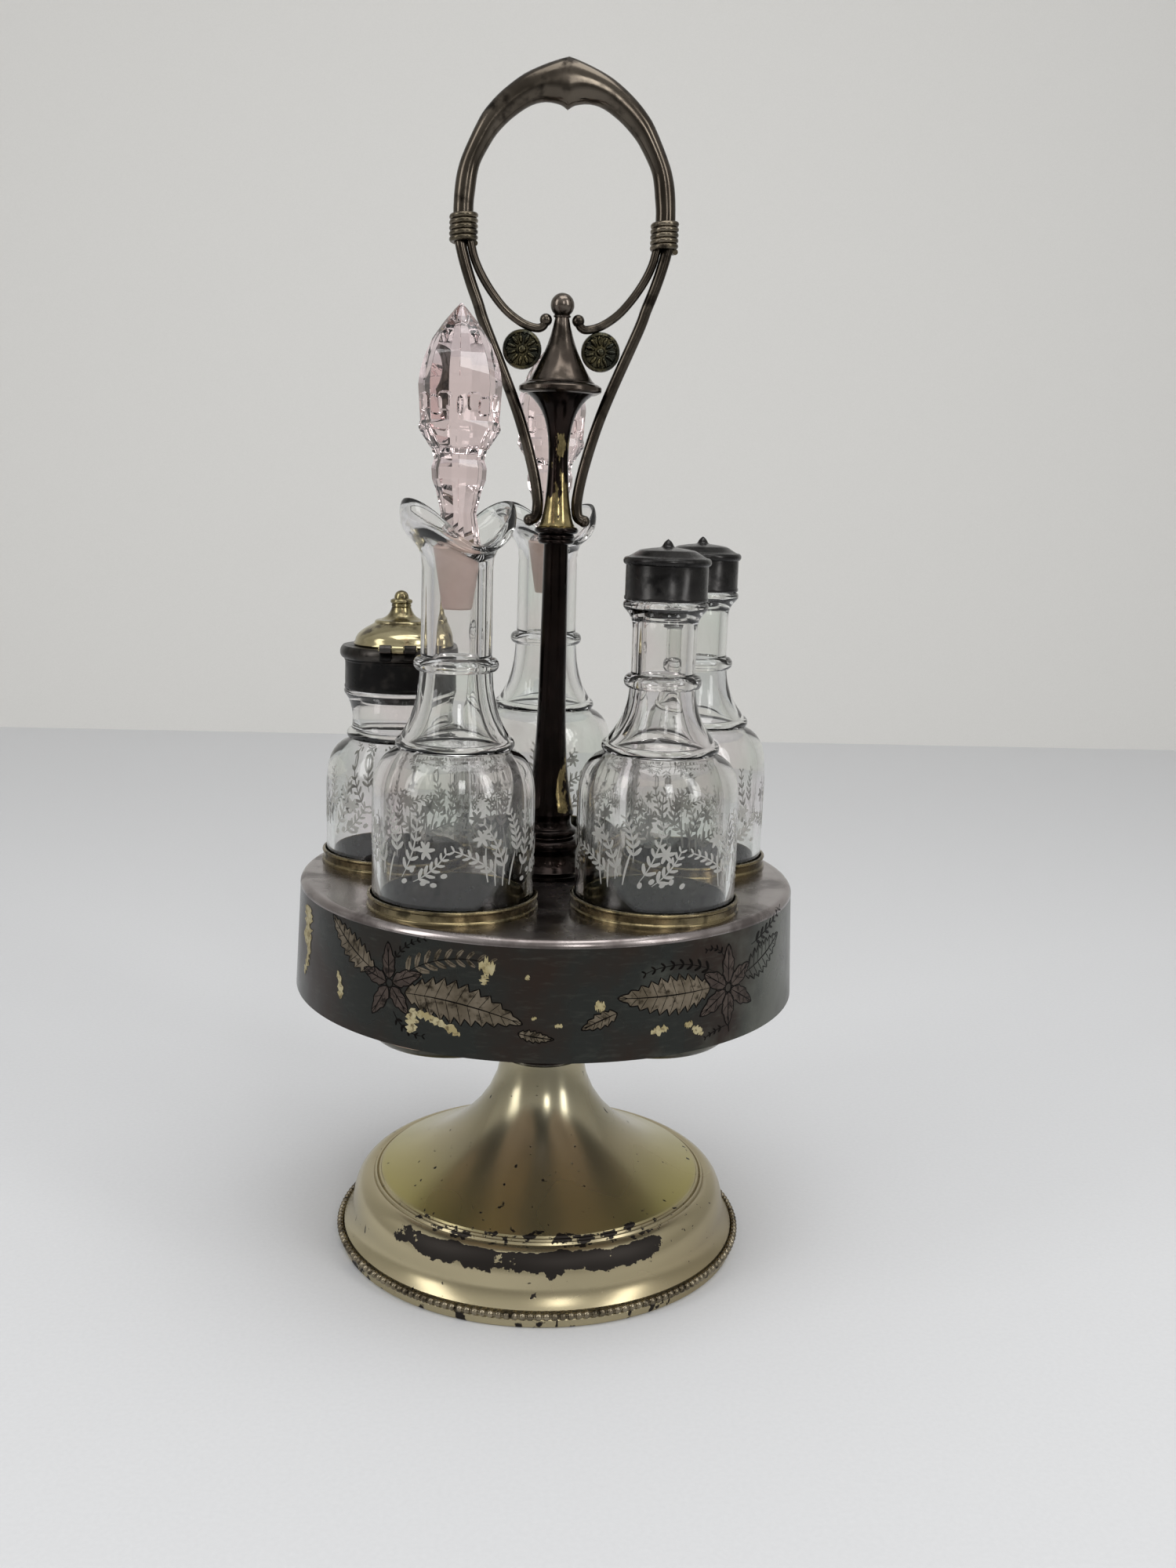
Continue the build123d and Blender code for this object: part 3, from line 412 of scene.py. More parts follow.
band_black = blackened("silver_sulphide_with_painted_sheen_on_band", "#262825", "#2c221c", "#55574f")
leaf_brown = tarnished("bright_cut_leaf_ground", "#7e7465", "#635a4c", "#3b352c", 2.5, (0.35, 0.6))
petal_mauve = tarnished("bright_cut_petal_ground", "#5a504a", "#463e3a", "#2f2a27", 2.5, (0.35, 0.6))
cut_black = tarnished("graver_cut_line", "#141211", "#1a1715", "#0b0a09", 1.5, (0.4, 0.6))
flake_cream = tarnished("bare_metal_under_flaked_plate", "#b5ab88", "#9f9268", "#6b5e3f", 1.4,
                        (0.4, 0.65), metallic=0.35)
plate_grey = tarnished("satin_plate_on_drum_top", "#a39c9a", "#8d8583", "#6d6664", 14, (0.16, 0.32))
cup_brass = tarnished("worn_gilding_on_brass_cup", "#857859", "#6a604a", "#3f392a", 5, (0.2, 0.36))
# painted shade: the inside walls and floor of each cup below the plate are coloured dark grey
painted_shade_in_cup = tarnished("painted_shade_inside_of_cup", "#66645a", "#4b4a42", "#2b2b26", 9, (0.24, 0.4))
cup_copper = tarnished("copper_showing_under_cup", "#c9b3a2", "#ab9483", "#6c584a", 8, (0.3, 0.45))

# %% The drum
band_low, band_high = heights("frame_band")
band_top_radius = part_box("frame_plate")[1][0] / MM
band_foot_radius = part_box("frame_band")[1][0] / MM
plate_high = heights("frame_plate")[1]
roll = 2.2
lathed("drum_band", "frame", band_black, [
    (band_foot_radius - 1.0, band_low), (band_foot_radius, band_low + 0.1),
    (band_top_radius, band_high), (band_top_radius - 1.0, band_high),
], ["frame_band"], steps=180)
quarter_arc = roll * 0.5523
lathed("rolled_edge", "frame", plate_grey, [
    (band_top_radius - 0.2, band_high - 0.5), (band_top_radius + 0.12, band_high - 0.2),
    ((band_top_radius + 0.12, band_high + quarter_arc),
     (band_top_radius - roll + quarter_arc, plate_high + 0.04), (band_top_radius - roll, plate_high + 0.04)),
    (band_top_radius - roll - 1.2, plate_high + 0.01), (band_top_radius - roll - 1.2, plate_high - 0.4),
], [], steps=180)
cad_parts["frame_plate"].data.materials.clear()
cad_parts["frame_plate"].data.materials.append(plate_grey)

# %% [markdown]
# Bright-cut engraving: a hand graver flicks out slivers of silver, so a leaf is a dull ground
# between black cuts. It is drawn here as thin inlays in flat band coordinates (millimetres
# round and up) and then wrapped on the drum. A grid whose rows are moved makes a leaf, a
# narrow grid makes a cut, and short grid cells let both follow the curve of the band.


# %% Engraver's tools
def cut(bm, points, width, taper=True):
    """A line along points, in flat coordinates."""
    made = bmesh.ops.create_grid(bm, x_segments=len(points) - 1, y_segments=1, size=1)
    for vert in made["verts"]:
        share = (vert.co.x + 1) / 2
        index = min(round(share * (len(points) - 1)), len(points) - 1)
        here = Vector(points[index])
        ahead = Vector(points[min(index + 1, len(points) - 1)])
        behind = Vector(points[max(index - 1, 0)])
        across = (ahead - behind).orthogonal().normalized()
        narrow = 0.35 + 0.65 * sin(pi * min(max(share, 0.06), 0.94)) if taper else 1.0
        vert.co.xy = here + across * (vert.co.y * width * narrow / 2)


def bent(start, heading, length, turn, count):
    """Points along an arc that starts at start, heads by degrees and turns in all by turn."""
    points, angle = [Vector(start)], radians(heading)
    for _ in range(count):
        points.append(points[-1] + Vector((cos(angle), sin(angle))) * (length / count))
        angle += radians(turn / count)
    return points


def leaf(fill, lines, start, heading, length, width, turn=0.0, teeth=9, bite=0.35, ink=0.36):
    """Serrated leaf: a ground of its own, its outline, midrib and side veins as cuts."""
    count = teeth * 4
    rib = bent(start, heading, length, turn, count)

    def half(index):
        share = index / count
        body = sin(pi * share ** 0.75) ** 0.8 if 0 < share < 1 else 0.0
        notch = 1 - bite * (1 - (index % 4) / 3)
        return width / 2 * body * notch

    edges = {1: [], -1: []}
    for side in edges:
        for index, point in enumerate(rib):
            ahead = rib[min(index + 1, count)] - rib[max(index - 1, 0)]
            edges[side].append(point + ahead.orthogonal().normalized() * half(index) * side)
    if fill is not None:
        made = bmesh.ops.create_grid(fill, x_segments=count, y_segments=2, size=1)
        for vert in made["verts"]:
            index, row = round((vert.co.x + 1) / 2 * count), round(vert.co.y)
            vert.co.xy = rib[index] if row == 0 else edges[row][index]
    for side in edges:
        cut(lines, edges[side], ink, taper=False)
        for index in range(4, count - 3, 4):
            tip = edges[side][min(index + 3, count)]
            cut(lines, [rib[index], rib[index].lerp(tip, 0.5), rib[index].lerp(tip, 0.92)], ink * 0.6)
    cut(lines, rib, ink * 1.1)


def fern(fill, lines, start, heading, length, turn, leaflets, size, ink=0.3):
    """A stem with paired leaflets that shrink towards its tip."""
    stem = bent(start, heading, length, turn, leaflets * 2)
    cut(lines, stem, ink)
    for index in range(2, len(stem), 2):
        ahead = stem[index] - stem[index - 2]
        way = atan2(ahead.y, ahead.x) * 180 / pi
        scale = size * (1 - 0.5 * index / len(stem))
        for side in (52, -52):
            blade = bent(stem[index], way + side, scale, -side * 0.5, 4)
            cut(fill if fill is not None else lines, blade, scale * 0.36)
            if fill is not None:
                cut(lines, [p + Vector((0.0, 0.16)) for p in blade], ink * 0.5)


def flower(fill, lines, centre, size, petals, start=90.0, ink=0.36):
    """Lobed petals round a centre, each with two inner cuts."""
    for index in range(petals):
        heading = start + 360 * index / petals
        root = Vector(centre) + Vector((cos(radians(heading)), sin(radians(heading)))) * size * 0.12
        leaf(fill, lines, root, heading, size * (0.95 if index % 2 else 1.1), size * 0.52, 0, 3,
             0.22, ink)
    ring = [Vector(centre) + Vector((cos(a), sin(a))) * size * 0.13
            for a in (2 * pi * i / 12 for i in range(13))]
    cut(lines, ring, ink, taper=False)


def flake(bm, centre, length, width, heading, seed):
    """Ragged patch where the plate flaked off."""
    rng = random.Random(seed)
    rib = bent(centre, heading, length, rng.uniform(-30, 30), 14)
    made = bmesh.ops.create_grid(bm, x_segments=14, y_segments=1, size=1)
    widths = {(i, s): width / 2 * rng.uniform(0.3, 1.5) * sin(pi * (i + 0.6) / 15.2) ** 0.4
              for i in range(15) for s in (1, -1)}
    for vert in made["verts"]:
        index, side = round((vert.co.x + 1) / 2 * 14), (1 if vert.co.y > 0 else -1)
        ahead = rib[min(index + 1, 14)] - rib[max(index - 1, 0)]
        vert.co.xy = rib[index] + ahead.orthogonal().normalized() * widths[index, side] * side


BEND_STEP = 2
FLAT_REACH = 600


def wrapped(bm, name, body, finish, place, radius_at, proud, thick=0.05):
    """Wraps flat work round an upright axis, a little proud of the surface, and thickens it."""
    for step in range(-FLAT_REACH, FLAT_REACH, BEND_STEP):
        sides = {vert.co.x < step for vert in bm.verts if vert.co.x != step}
        if len(sides) == 2:
            bmesh.ops.bisect_plane(bm, geom=bm.verts[:] + bm.edges[:] + bm.faces[:],
                                   plane_co=(step, 0, 0), plane_no=(1, 0, 0))
    base = bm.faces[:]
    bmesh.ops.recalc_face_normals(bm, faces=base)
    for vert in bm.verts:
        vert.co.z = 0.0
    made = bmesh.ops.extrude_face_region(bm, geom=base, use_keep_orig=True)
    for vert in [g for g in made["geom"] if isinstance(g, bmesh.types.BMVert)]:
        vert.co.z = thick
    for vert in bm.verts:
        around, up, out = vert.co
        radius = radius_at(up)
        angle = around / radius_at(0.0) - pi / 2
        reach = radius + proud + out
        vert.co = Vector((place[0] + reach * cos(angle) * MM,
                          place[1] + reach * sin(angle) * MM, up * MM))
    return finished(bm, name, body, [finish], sharp=50)


# %% [markdown]
# The band carries two groups, each a flower with a large serrated leaf that points to the
# middle, a fern spray over it, and a second leaf behind. The rest of the band repeats the
# pair at the back, as such bands do. A few cream flakes lie near the rims.


# %% Engraving on the band
def on_band(up):
    """The band's radius at a height, and its foot radius for height nought."""
    if not up:
        return band_foot_radius
    share = (up - band_low) / (band_high - band_low)
    return band_foot_radius + (band_top_radius - band_foot_radius) * share


grounds, petals_ground, lines, flakes = (bmesh.new() for _ in range(4))
half_way = pi * band_foot_radius
for shift in (0.0, half_way):
    left, right = shift - 55.0, shift + 59.0
    leaf(grounds, lines, (left + 6, 112.5), 4, 39, 14, -24, 11)
    leaf(grounds, lines, (left + 43, 104.5), -12, 11, 4, 8, 6)
    leaf(grounds, lines, (left - 6, 117), 158, 26, 10, -18, 9)
    fern(grounds, lines, (left + 4, 117.0), 40, 32, -52, 9, 5.4)
    fern(None, lines, (left + 1, 121.0), 62, 15, -50, 6, 2.0, 0.24)
    flower(petals_ground, lines, (left, 114.5), 10.5, 5, 95)
    fern(None, lines, (left + 2, 106.0), -60, 13, 70, 5, 2.2, 0.24)
    leaf(grounds, lines, (right - 8, 114.5), 182, 33, 13, -6, 10)
    leaf(grounds, lines, (right - 41, 110.5), 200, 12, 5.5, 6, 5)
    fern(None, lines, (right - 6, 119.0), 150, 27, 50, 8, 3.0, 0.26)
    fern(None, lines, (right - 2, 123.0), 120, 9, 80, 4, 2.0, 0.24)
    leaf(None, lines, (right + 8, 116), 12, 25, 11, 14, 9, 0.4, 0.3)
    fern(None, lines, (right + 12, 124.5), 14, 22, 10, 7, 3.4, 0.24)
    flower(petals_ground, lines, (right, 113.0), 11.5, 6, 90)
    cut(lines, bent((right, 106.5), -88, 8, 6, 6), 0.36)
    fern(None, lines, (right - 1, 101.0), 185, 9, 20, 4, 1.8, 0.24)
for place, size in {
    (-104.0, 128.0): (13, 9.0, -90), (-101.0, 117.0): (13, 3.6, -98), (-79.0, 113.0): (9, 2.8, -66),
    (-47.0, 100.5): (8, 3.4, 70), (-46.0, 107.2): (12, 2.6, -2), (-38.0, 105.6): (9, 2.4, -12),
    (-24.5, 124.2): (5, 5.0, 0), (-23.0, 121.6): (3, 2.6, -80), (11.0, 112.6): (3.2, 3.0, 10),
    (29.0, 103.6): (6, 2.6, 4), (41.0, 104.0): (3, 2.0, 10), (44.0, 103.2): (5, 2.4, -30),
    (-8.0, 109.0): (1.6, 1.0, 20), (-1.0, 107.0): (2.4, 1.2, 10), (-10.0, 121.0): (1.6, 1.2, 60),
    (150.0, 120.0): (14, 3.0, -80), (210.0, 104.0): (12, 2.4, 12), (-190.0, 124.0): (8, 3.0, 20),
}.items():
    flake(flakes, place, size[0], size[1], size[2], seed=round(place[0] * 7 + place[1]))
for flat, name, finish, proud, thick in (
        (grounds, "engraved_leaf_grounds", leaf_brown, 0.01, 0.05),
        (petals_ground, "engraved_petal_grounds", petal_mauve, 0.03, 0.05),
        (lines, "engraved_cuts", cut_black, 0.07, 0.03),
        (flakes, "flaked_patches", flake_cream, 0.09, 0.04)):
    wrapped(flat, name, "frame", finish, (0.0, 0.0), on_band, proud, thick)

# %% [markdown]
# Each bottle stands in a drawn cup whose lip shows above the plate as a dull ring of worn
# gilding between two fine ribs. Under the plate the outside wall and the flat underside are
# bare copper, and the inside is dark grey: painted shade. The outline runs from the floor to the lip.

# %% The five cups
cup_wall, round_off = 0.5, 5.5
for spot in ("front_left", "front_right", "right", "back", "left"):
    node = f"cup_{spot}"
    low, high = heights(node)
    tall, plate = high - low, plate_high - low
    outer = radius_of(node) - 0.5
    inner = outer - cup_wall
    cup = turned(f"bottle_cup_{spot}", node, cup_brass, [
        (0, 0), (outer - round_off, 0), ((outer - 2.4, 0), (outer, 2.4), (outer, round_off)),
        (outer, plate - 0.1), (outer + 0.7, plate - 0.1), (outer + 0.72, plate + 0.5),
        ((outer + 0.7, plate + 1.0), (outer + 0.3, plate + 1.1), (outer + 0.2, plate + 1.3)),
        (outer + 0.2, tall - 1.3),
        ((outer + 0.25, tall - 1.1), (outer + 0.7, tall - 1.0), (outer + 0.6, tall - 0.5)),
        ((outer + 0.5, tall), (outer, tall), (inner + 0.1, tall)),
        (inner, tall - 0.3), (inner, round_off + 0.5),
        ((inner, 2.6), (inner - 2.2, 0.5), (inner - round_off, 0.5)), (0, 0.5),
    ], ring=False)
    cup.data.materials.append(painted_shade_in_cup)
    cup.data.materials.append(cup_copper)
    axis = at_axis(node).translation
    for face in cup.data.polygons:
        reach, height = (face.center - axis).xy.length / MM, face.center.z / MM
        # below the plate, inside faces take the painted shade and the outside wall and underside are copper
        if height < plate_high - 1.0:
            face.material_index = 1 if reach < inner + 0.05 and height > low + 0.3 else 2

# %% [markdown]
# The hub under the drum, the turned rings at the column's foot, the long taper, the collar
# and the trumpet are all lathe work gone black. The black is a thin glossy sulphide skin;
# where it rubbed off low on the column, on the bell and in a few patches up the trumpet,
# brass shows.


# %% Column finish
def black_skin():
    material, tree, shader = surface("glossy_sulphide_over_brass", Metallic=0.9)
    x, y, z = position(tree)

    def times(first, second):
        return joined(tree, "MULTIPLY", first, second)

    def zone(start, full, fade, end, weight):
        """A stretch of height, faded at both ends."""
        return times(times(ramped(tree, z, start, full), ramped(tree, z, end, fade)), weight)

    bell = zone(0.2515, 0.2520, 0.2560, 0.2680, 0.40)
    middle_patches = times(zone(0.260, 0.264, 0.279, 0.287, 0.17), ramped(tree, y, 0.001, -0.002))
    low = times(zone(0.1545, 0.156, 0.170, 0.186, 0.30), ramped(tree, x, 0.0010, 0.0034))
    worn = joined(tree, "MAXIMUM", joined(tree, "MAXIMUM", bell, middle_patches), low)
    torn = joined(tree, "ADD", worn, speckle(tree, 4, 5.0, stretch=(1, 1, 0.4), shift=0.3))
    bare = ramped(tree, torn, 0.70, 0.73)
    skin = mixed(tree, ramped(tree, speckle(tree, 9, 3.0), 0.4, 0.65), "#16110f", "#221a17")
    brass = mixed(tree, ramped(tree, speckle(tree, 3, 3.0), 0.4, 0.6), "#9a8b62", "#776b4a")
    coloured(tree, shader, mixed(tree, bare, skin, brass),
             ramped(tree, speckle(tree, 6, 4.0), 0.3, 0.7, 0.10, 0.24))
    dented(tree, shader, speckle(tree, 1.0, 3.0), 0.02, 0.3)
    return material


column_black = black_skin()

# %% Hub, column and trumpet
tall = tallness("hub")
turned("hub_turned", "hub", column_black, [
    (2.4, 0), (15.0, 0), (15.2, 1.0),
    ((16.4, 1.8), (16.4, 3.6), (14.8, 4.2)),
    ((10.5, 8), (8.4, 18), (8.0, 30)),
    ((8.0, tall - 14), (9.5, tall - 3), (18.0, tall - 1.6)),
    (18.0, tall - 0.1), (2.4, tall - 0.1),
])
tall = tallness("column_base")
turned("column_base_rings", "column_base", column_black, [
    (2.1, 0), (15.6, 0), (16.0, 0.5), (15.9, 1.2),
    ((14.8, 1.9), (13.4, 1.6), (12.9, 2.3)),
    ((12.2, 3.4), (10.4, 4.0), (10.2, 7.4)),
    (9.8, 7.8), (10.2, 8.4),
    ((12.6, 9.2), (12.6, 12.0), (10.2, 12.8)),
    (8.9, 13.1), (8.7, 13.6),
    ((10.3, 14.0), (10.3, 15.7), (8.7, 16.2)),
    ((7.7, 16.8), (7.4, tall - 1.6), (7.9, tall)),
    (2.1, tall),
])
tall = tallness("column")
turned("column_shaft", "column", column_black, [
    (2.4, 0), (8.0, 0), (8.5, 0.3), (8.65, 0.9),
    ((6.1, 10), (5.1, 22), (4.7, 42)),
    ((4.5, 60), (4.2, tall - 14), (4.1, tall)), (2.4, tall),
])
tall = tallness("column_collar")
turned("column_collar_rings", "column_collar", column_black, [
    (2.1, 0), (5.3, 0),
    ((6.3, 0.4), (6.3, 1.3), (5.7, 1.6)),
    ((6.3, 2.0), (6.3, 2.9), (5.6, 3.3)), (6.6, 3.5),
    ((7.6, 4.0), (7.6, tall - 0.5), (6.6, tall)), (2.1, tall),
])
tall = tallness("trumpet")
disc_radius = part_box("finial_disc")[1][0] / MM
turned("trumpet_turned", "trumpet", column_black, [
    (2.1, 0), (6.0, 0), (6.1, 0.4),
    ((4.7, 2.2), (3.7, 8), (3.3, 22)),
    ((3.3, tall - 10), (5.2, tall - 4), (disc_radius - 2.7, tall)), (2.1, tall),
])

# %% [markdown]
# Above the trumpet the metal was handled and polished, so it is a warm pewter grey with
# sharp highlights. The disc has a bevelled rim, the cone a fine groove near its base.

# %% Disc, cone and ball
pewter = tarnished("handled_nickel_silver", "#756c64", "#544c45", "#322d28", 8, (0.12, 0.28))
handle_metal = tarnished("tarnished_nickel_silver_handle", "#5c554c", "#403a33", "#231f1b", 7,
                         (0.13, 0.28))
tall = tallness("finial_disc")
turned("finial_disc_turned", "finial_disc", pewter, [
    (2.1, 0), (disc_radius - 1.5, 0), (disc_radius - 0.2, 0.7),
    (disc_radius, 1.0), (disc_radius, tall - 1.1), (disc_radius - 0.3, tall - 0.7),
    (disc_radius - 1.5, tall), (2.1, tall),
])
tall = tallness("finial_cone")
turned("finial_cone_turned", "finial_cone", pewter, [
    (2.1, 0), (11.2, 0), (11.3, 0.5), (10.9, 0.8),
    (10.5, 1.3), (10.3, 1.6),
    ((7.2, 6.0), (3.8, 12.5), (2.2, tall)), (2.1, tall),
])
cone_high = heights("finial_cone")[1]
ball_radius = 3.9
ball_middle = heights("finial_ball")[1] - ball_radius
bm = bmesh.new()
ball(bm, ball_radius, 48, 32, Matrix.Translation((0, 0, ball_middle * MM)))
spin_into(bm, [(0, cone_high - 0.6), (2.7, cone_high - 0.6), (2.9, cone_high - 0.2),
               (2.4, cone_high + 0.5), (0, cone_high + 0.5)], steps=48)
finished(bm, "finial_ball_turned", "frame", [pewter], ["finial_ball"], sharp=60)

# %% [markdown]
# The handle is a cast loop, thick and roof-shaped at the top where it has a small cusp
# inside, and drawn down to a round rod at each side. It is made by carrying a circle along
# the loop: at each station a matrix squashes the circle to the casting's width and depth.


# %% Carrying a circle along a path
def carried(bm, frames, segments):
    """Tube through sections, each a matrix that shapes and places a unit circle."""
    made = bmesh.ops.create_circle(bm, cap_ends=True, segments=segments, radius=1, matrix=frames[0])
    ring = [e for e in bm.edges if all(v in made["verts"] for v in e.verts)]
    for last, here in zip(frames, frames[1:]):
        grown = bmesh.ops.extrude_edge_only(bm, edges=ring)["geom"]
        verts = [g for g in grown if isinstance(g, bmesh.types.BMVert)]
        ring = [g for g in grown if isinstance(g, bmesh.types.BMEdge)
                and all(v in verts for v in g.verts)]
        bmesh.ops.transform(bm, matrix=here @ last.inverted(), verts=verts)
    bmesh.ops.contextual_create(bm, geom=ring)


def section(centre, along, across, half_width, half_depth):
    """Matrix from the unit circle to a section, across and depth in millimetres."""
    along, across = along.normalized(), across.normalized()
    depth = along.cross(across)
    turn = Matrix((across, depth, along)).transposed().to_4x4()
    size = Matrix.Diagonal((half_width * MM, half_depth * MM, MM, 1))
    return Matrix.Translation(centre * MM) @ turn @ size


def rounded(points, per_span=8):
    """Smooth curve through points."""
    points = [Vector(p) for p in points]
    path = []
    for index in range(len(points) - 1):
        a, b = points[index], points[index + 1]
        before, after = points[max(index - 1, 0)], points[min(index + 2, len(points) - 1)]
        handles = (a + (b - before) / 6, b - (after - a) / 6)
        path += interpolate_bezier(a, *handles, b, per_span + 1)[:-1]
    return path + [points[-1]]


def rod(bm, points, radius, tip):
    """Round rod with a ball tip, along points in the handle's plane."""
    path = rounded([(x, 0, z) for x, z in points])
    frames = []
    for index, spot in enumerate(path):
        along = path[min(index + 1, len(path) - 1)] - path[max(index - 1, 0)]
        across = Vector((0, 1, 0)).cross(along)
        frames.append(section(spot, along, across, radius, radius))
    carried(bm, frames, 20)
    ball(bm, tip, 28, 18, Matrix.Translation(path[-1] * MM))


# %% The loop, its bindings and rods
foot_of_loop, top = heights("handle_loop")
outside = [(35.9, foot_of_loop - top), (36.0, -47.2), (35.6, -40.2), (34.6, -34.6), (32.7, -29.2),
           (28.3, -19.9), (25.0, -15.2), (20.5, -10.6), (14.3, -5.9), (8.0, -2.8), (3.0, -0.9), (0.0, 0.0)]
inside = [(29.4, foot_of_loop - top), (29.5, -46.2), (29.0, -41.2), (28.3, -36.0), (27.0, -32.0),
          (23.4, -25.6), (20.4, -21.9), (16.6, -18.4), (11.6, -15.1), (7.0, -13.9), (2.4, -14.5),
          (0.0, -16.0)]
depths = [3.1, 3.15, 3.2, 3.25, 3.35, 3.5, 3.6, 3.75, 3.95, 4.15, 4.25, 4.3]
right_half = list(zip(rounded([(x, 0, top + z) for x, z in outside], 3),
                      rounded([(x, 0, top + z) for x, z in inside], 3),
                      rounded([(d, 0, 0) for d in depths], 3)))
left_half = [(Vector((-a.x, 0, a.z)), Vector((-b.x, 0, b.z)), d)
             for a, b, d in reversed(right_half[:-1])]
loop_frames = []
for outer_edge, inner_edge, depth in right_half + left_half:
    across = outer_edge - inner_edge
    along = across.cross(Vector((0, 1, 0)))
    loop_frames.append(section((outer_edge + inner_edge) / 2, along, across, across.length / 2, depth.x))
bm = bmesh.new()
carried(bm, loop_frames, 32)
finished(bm, "handle_cast_loop", "frame", [handle_metal], ["handle_loop"], sharp=50)

bind_middle = sum(heights("handle_binding_right")) / 2
collar_high = heights("column_collar")[1]
side_x = at_axis("handle_binding_right").translation.x / MM
turns, wire, coil_radius, per_turn = 5, 0.92, 3.75, 24
arm_radius, wire_radius = 1.85, 1.4
arm_drops = [(34.0, 0.5), (33.4, 5), (31.8, 11), (29.8, 17), (27.5, 23), (25.2, 29.5), (16.7, 49.6),
             (12.1, 62), (8.4, 75), (6.7, 84)]
arm_line = [(x, bind_middle - drop) for x, drop in arm_drops] + [
    (x, collar_high + rise) for x, rise in ((6.6, 5.6), (7.2, 3.2), (9.2, 2.0))]
wire_line = [(x, bind_middle - drop) for x, drop in (
    (30.8, 0.5), (30.0, 5), (28.8, 9.3), (26.4, 14.3), (22.8, 19.7), (18.3, 24.8), (13.0, 28.5),
    (8.4, 29.9), (6.2, 29.2), (5.3, 27.2))]
for side, hand in ((-1, "left"), (1, "right")):
    bm = bmesh.new()
    coil = []
    for step in range(turns * per_turn + 1):
        angle = 2 * pi * step / per_turn
        rise = (step / per_turn - turns / 2) * 2 * wire * 0.93
        out = Vector((cos(angle), sin(angle), 0))
        centre = Vector((side * side_x, 0, bind_middle + rise)) + out * coil_radius
        along = Vector((-sin(angle), cos(angle), 0.05))
        coil.append(section(centre, along, out, wire, wire))
    carried(bm, coil, 12)
    finished(bm, f"binding_wire_{hand}", "frame", [binding_metal],
             [f"handle_binding_{hand}"], sharp=60)
    for name, line, radius, tip, node in (("arm", arm_line, arm_radius, 2.0, "outer_arm"),
                                          ("wire", wire_line, wire_radius, 2.05, "inner_wire")):
        bm = bmesh.new()
        rod(bm, [(side * x, z) for x, z in line], radius, tip)
        finished(bm, f"handle_{name}_{hand}", "frame", [handle_metal],
                 [f"{node}_{hand}"], sharp=60)

# %% [markdown]
# The two medallions are small castings: a dished disc, a ring of radial petals standing on
# it and a domed boss, the same on both faces. Petals are squashed spheres set in a circle,
# which gives the soft, swollen look of a casting that was never sharpened.

# %% Medallions
cast_dark = tarnished("cast_and_blackened_medallion", "#34352f", "#534d38", "#171713", 1.6, (0.18, 0.34))
petal_count = 11
half_section = [(0.78, 0.7), (0.84, 1.25), (0.96, 1.1), (1.0, 0.4)]
for side, hand in ((-1, "left"), (1, "right")):
    low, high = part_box(f"medallion_{hand}")
    middle = Vector(((low[0] + high[0]) / 2, 0, (low[2] + high[2]) / 2))
    radius = radius_of(f"medallion_{hand}")
    bm = bmesh.new()
    upright = Matrix.Translation(middle) @ Matrix.Rotation(pi / 2, 4, "X")
    under = [(radius * share, -rise) for share, rise in half_section]
    over = [(radius * share, rise) for share, rise in reversed(half_section)]
    spin_into(bm, [(0, -0.7), *under, *over, (0, 0.7)], upright, steps=60)
    petal, boss = Matrix.Diagonal((radius * 0.28, radius * 0.11, 1.15, 1)), Matrix.Diagonal((1, 1, 0.75, 1))
    for face in (-1, 1):
        for index in range(petal_count):
            turn = 2 * pi * index / petal_count
            ball(bm, 1, 14, 8, upright @ around(turn, radius * 0.56, face * 0.85) @ petal)
            ball(bm, 0.42, 8, 6, upright @ around(turn + pi / petal_count, radius * 0.78, face * 0.9))
        ball(bm, radius * 0.22, 20, 12, upright @ around(0, 0, face * 0.8) @ boss)
    finished(bm, f"rosette_{hand}", "frame", [cast_dark], [f"medallion_{hand}"], sharp=45)

# %% [markdown]
# The bottles are soda-lime glass, blown in a mould and fire polished, with real walls: an
# outer and an inner surface, so light bends twice and the thick base gathers it. Old glass
# has a faint green-grey tint. The neck of an oil bottle was pinched while soft into a lip
# that dips at the sides, which is done here by sinking the lip's points by their direction.


# %% Glass
def glass(name, light, shade, ior, waves_mm):
    """Clear glass, a little wavy, with the faintest change of tint."""
    material, tree, shader = surface(name, Transmission_Weight=1.0, IOR=ior)
    tint = mixed(tree, ramped(tree, speckle(tree, 30, 2.0), 0.35, 0.65), light, shade)
    coloured(tree, shader, tint, ramped(tree, speckle(tree, 9, 3.0), 0.5, 0.8, 0.0, 0.05))
    dented(tree, shader, speckle(tree, waves_mm, 2.0), 0.2, 0.15)
    return material


def ground(name, light, shade, roughness, clear, size_mm, grain, depth_mm, strength):
    """Glass ground matt; grain is the size and detail of its roughness."""
    material, tree, shader = surface(name, Roughness=roughness, IOR=1.5, Transmission_Weight=clear)
    coloured(tree, shader, mixed(tree, speckle(tree, size_mm, 4.0), light, shade))
    dented(tree, shader, speckle(tree, *grain), depth_mm, strength)
    return material


bottle_glass = glass("blown_soda_lime_glass", "#f4f8f4", "#f8f4f4", 1.50, 14)
stopper_glass = glass("cut_lead_glass", "#f6e4e2", "#f1dede", 1.54, 30)
plug_glass = ground("ground_glass_plug", "#efd6cc", "#dfc4b8", 0.42, 0.2, 3, (0.7, 3.0), 0.05, 0.5)
frost = ground("wheel_engraved_frost", "#e8e7e3", "#d2d1cc", 0.6, 0.62, 2, (0.4, 2.0), 0.03, 0.6)


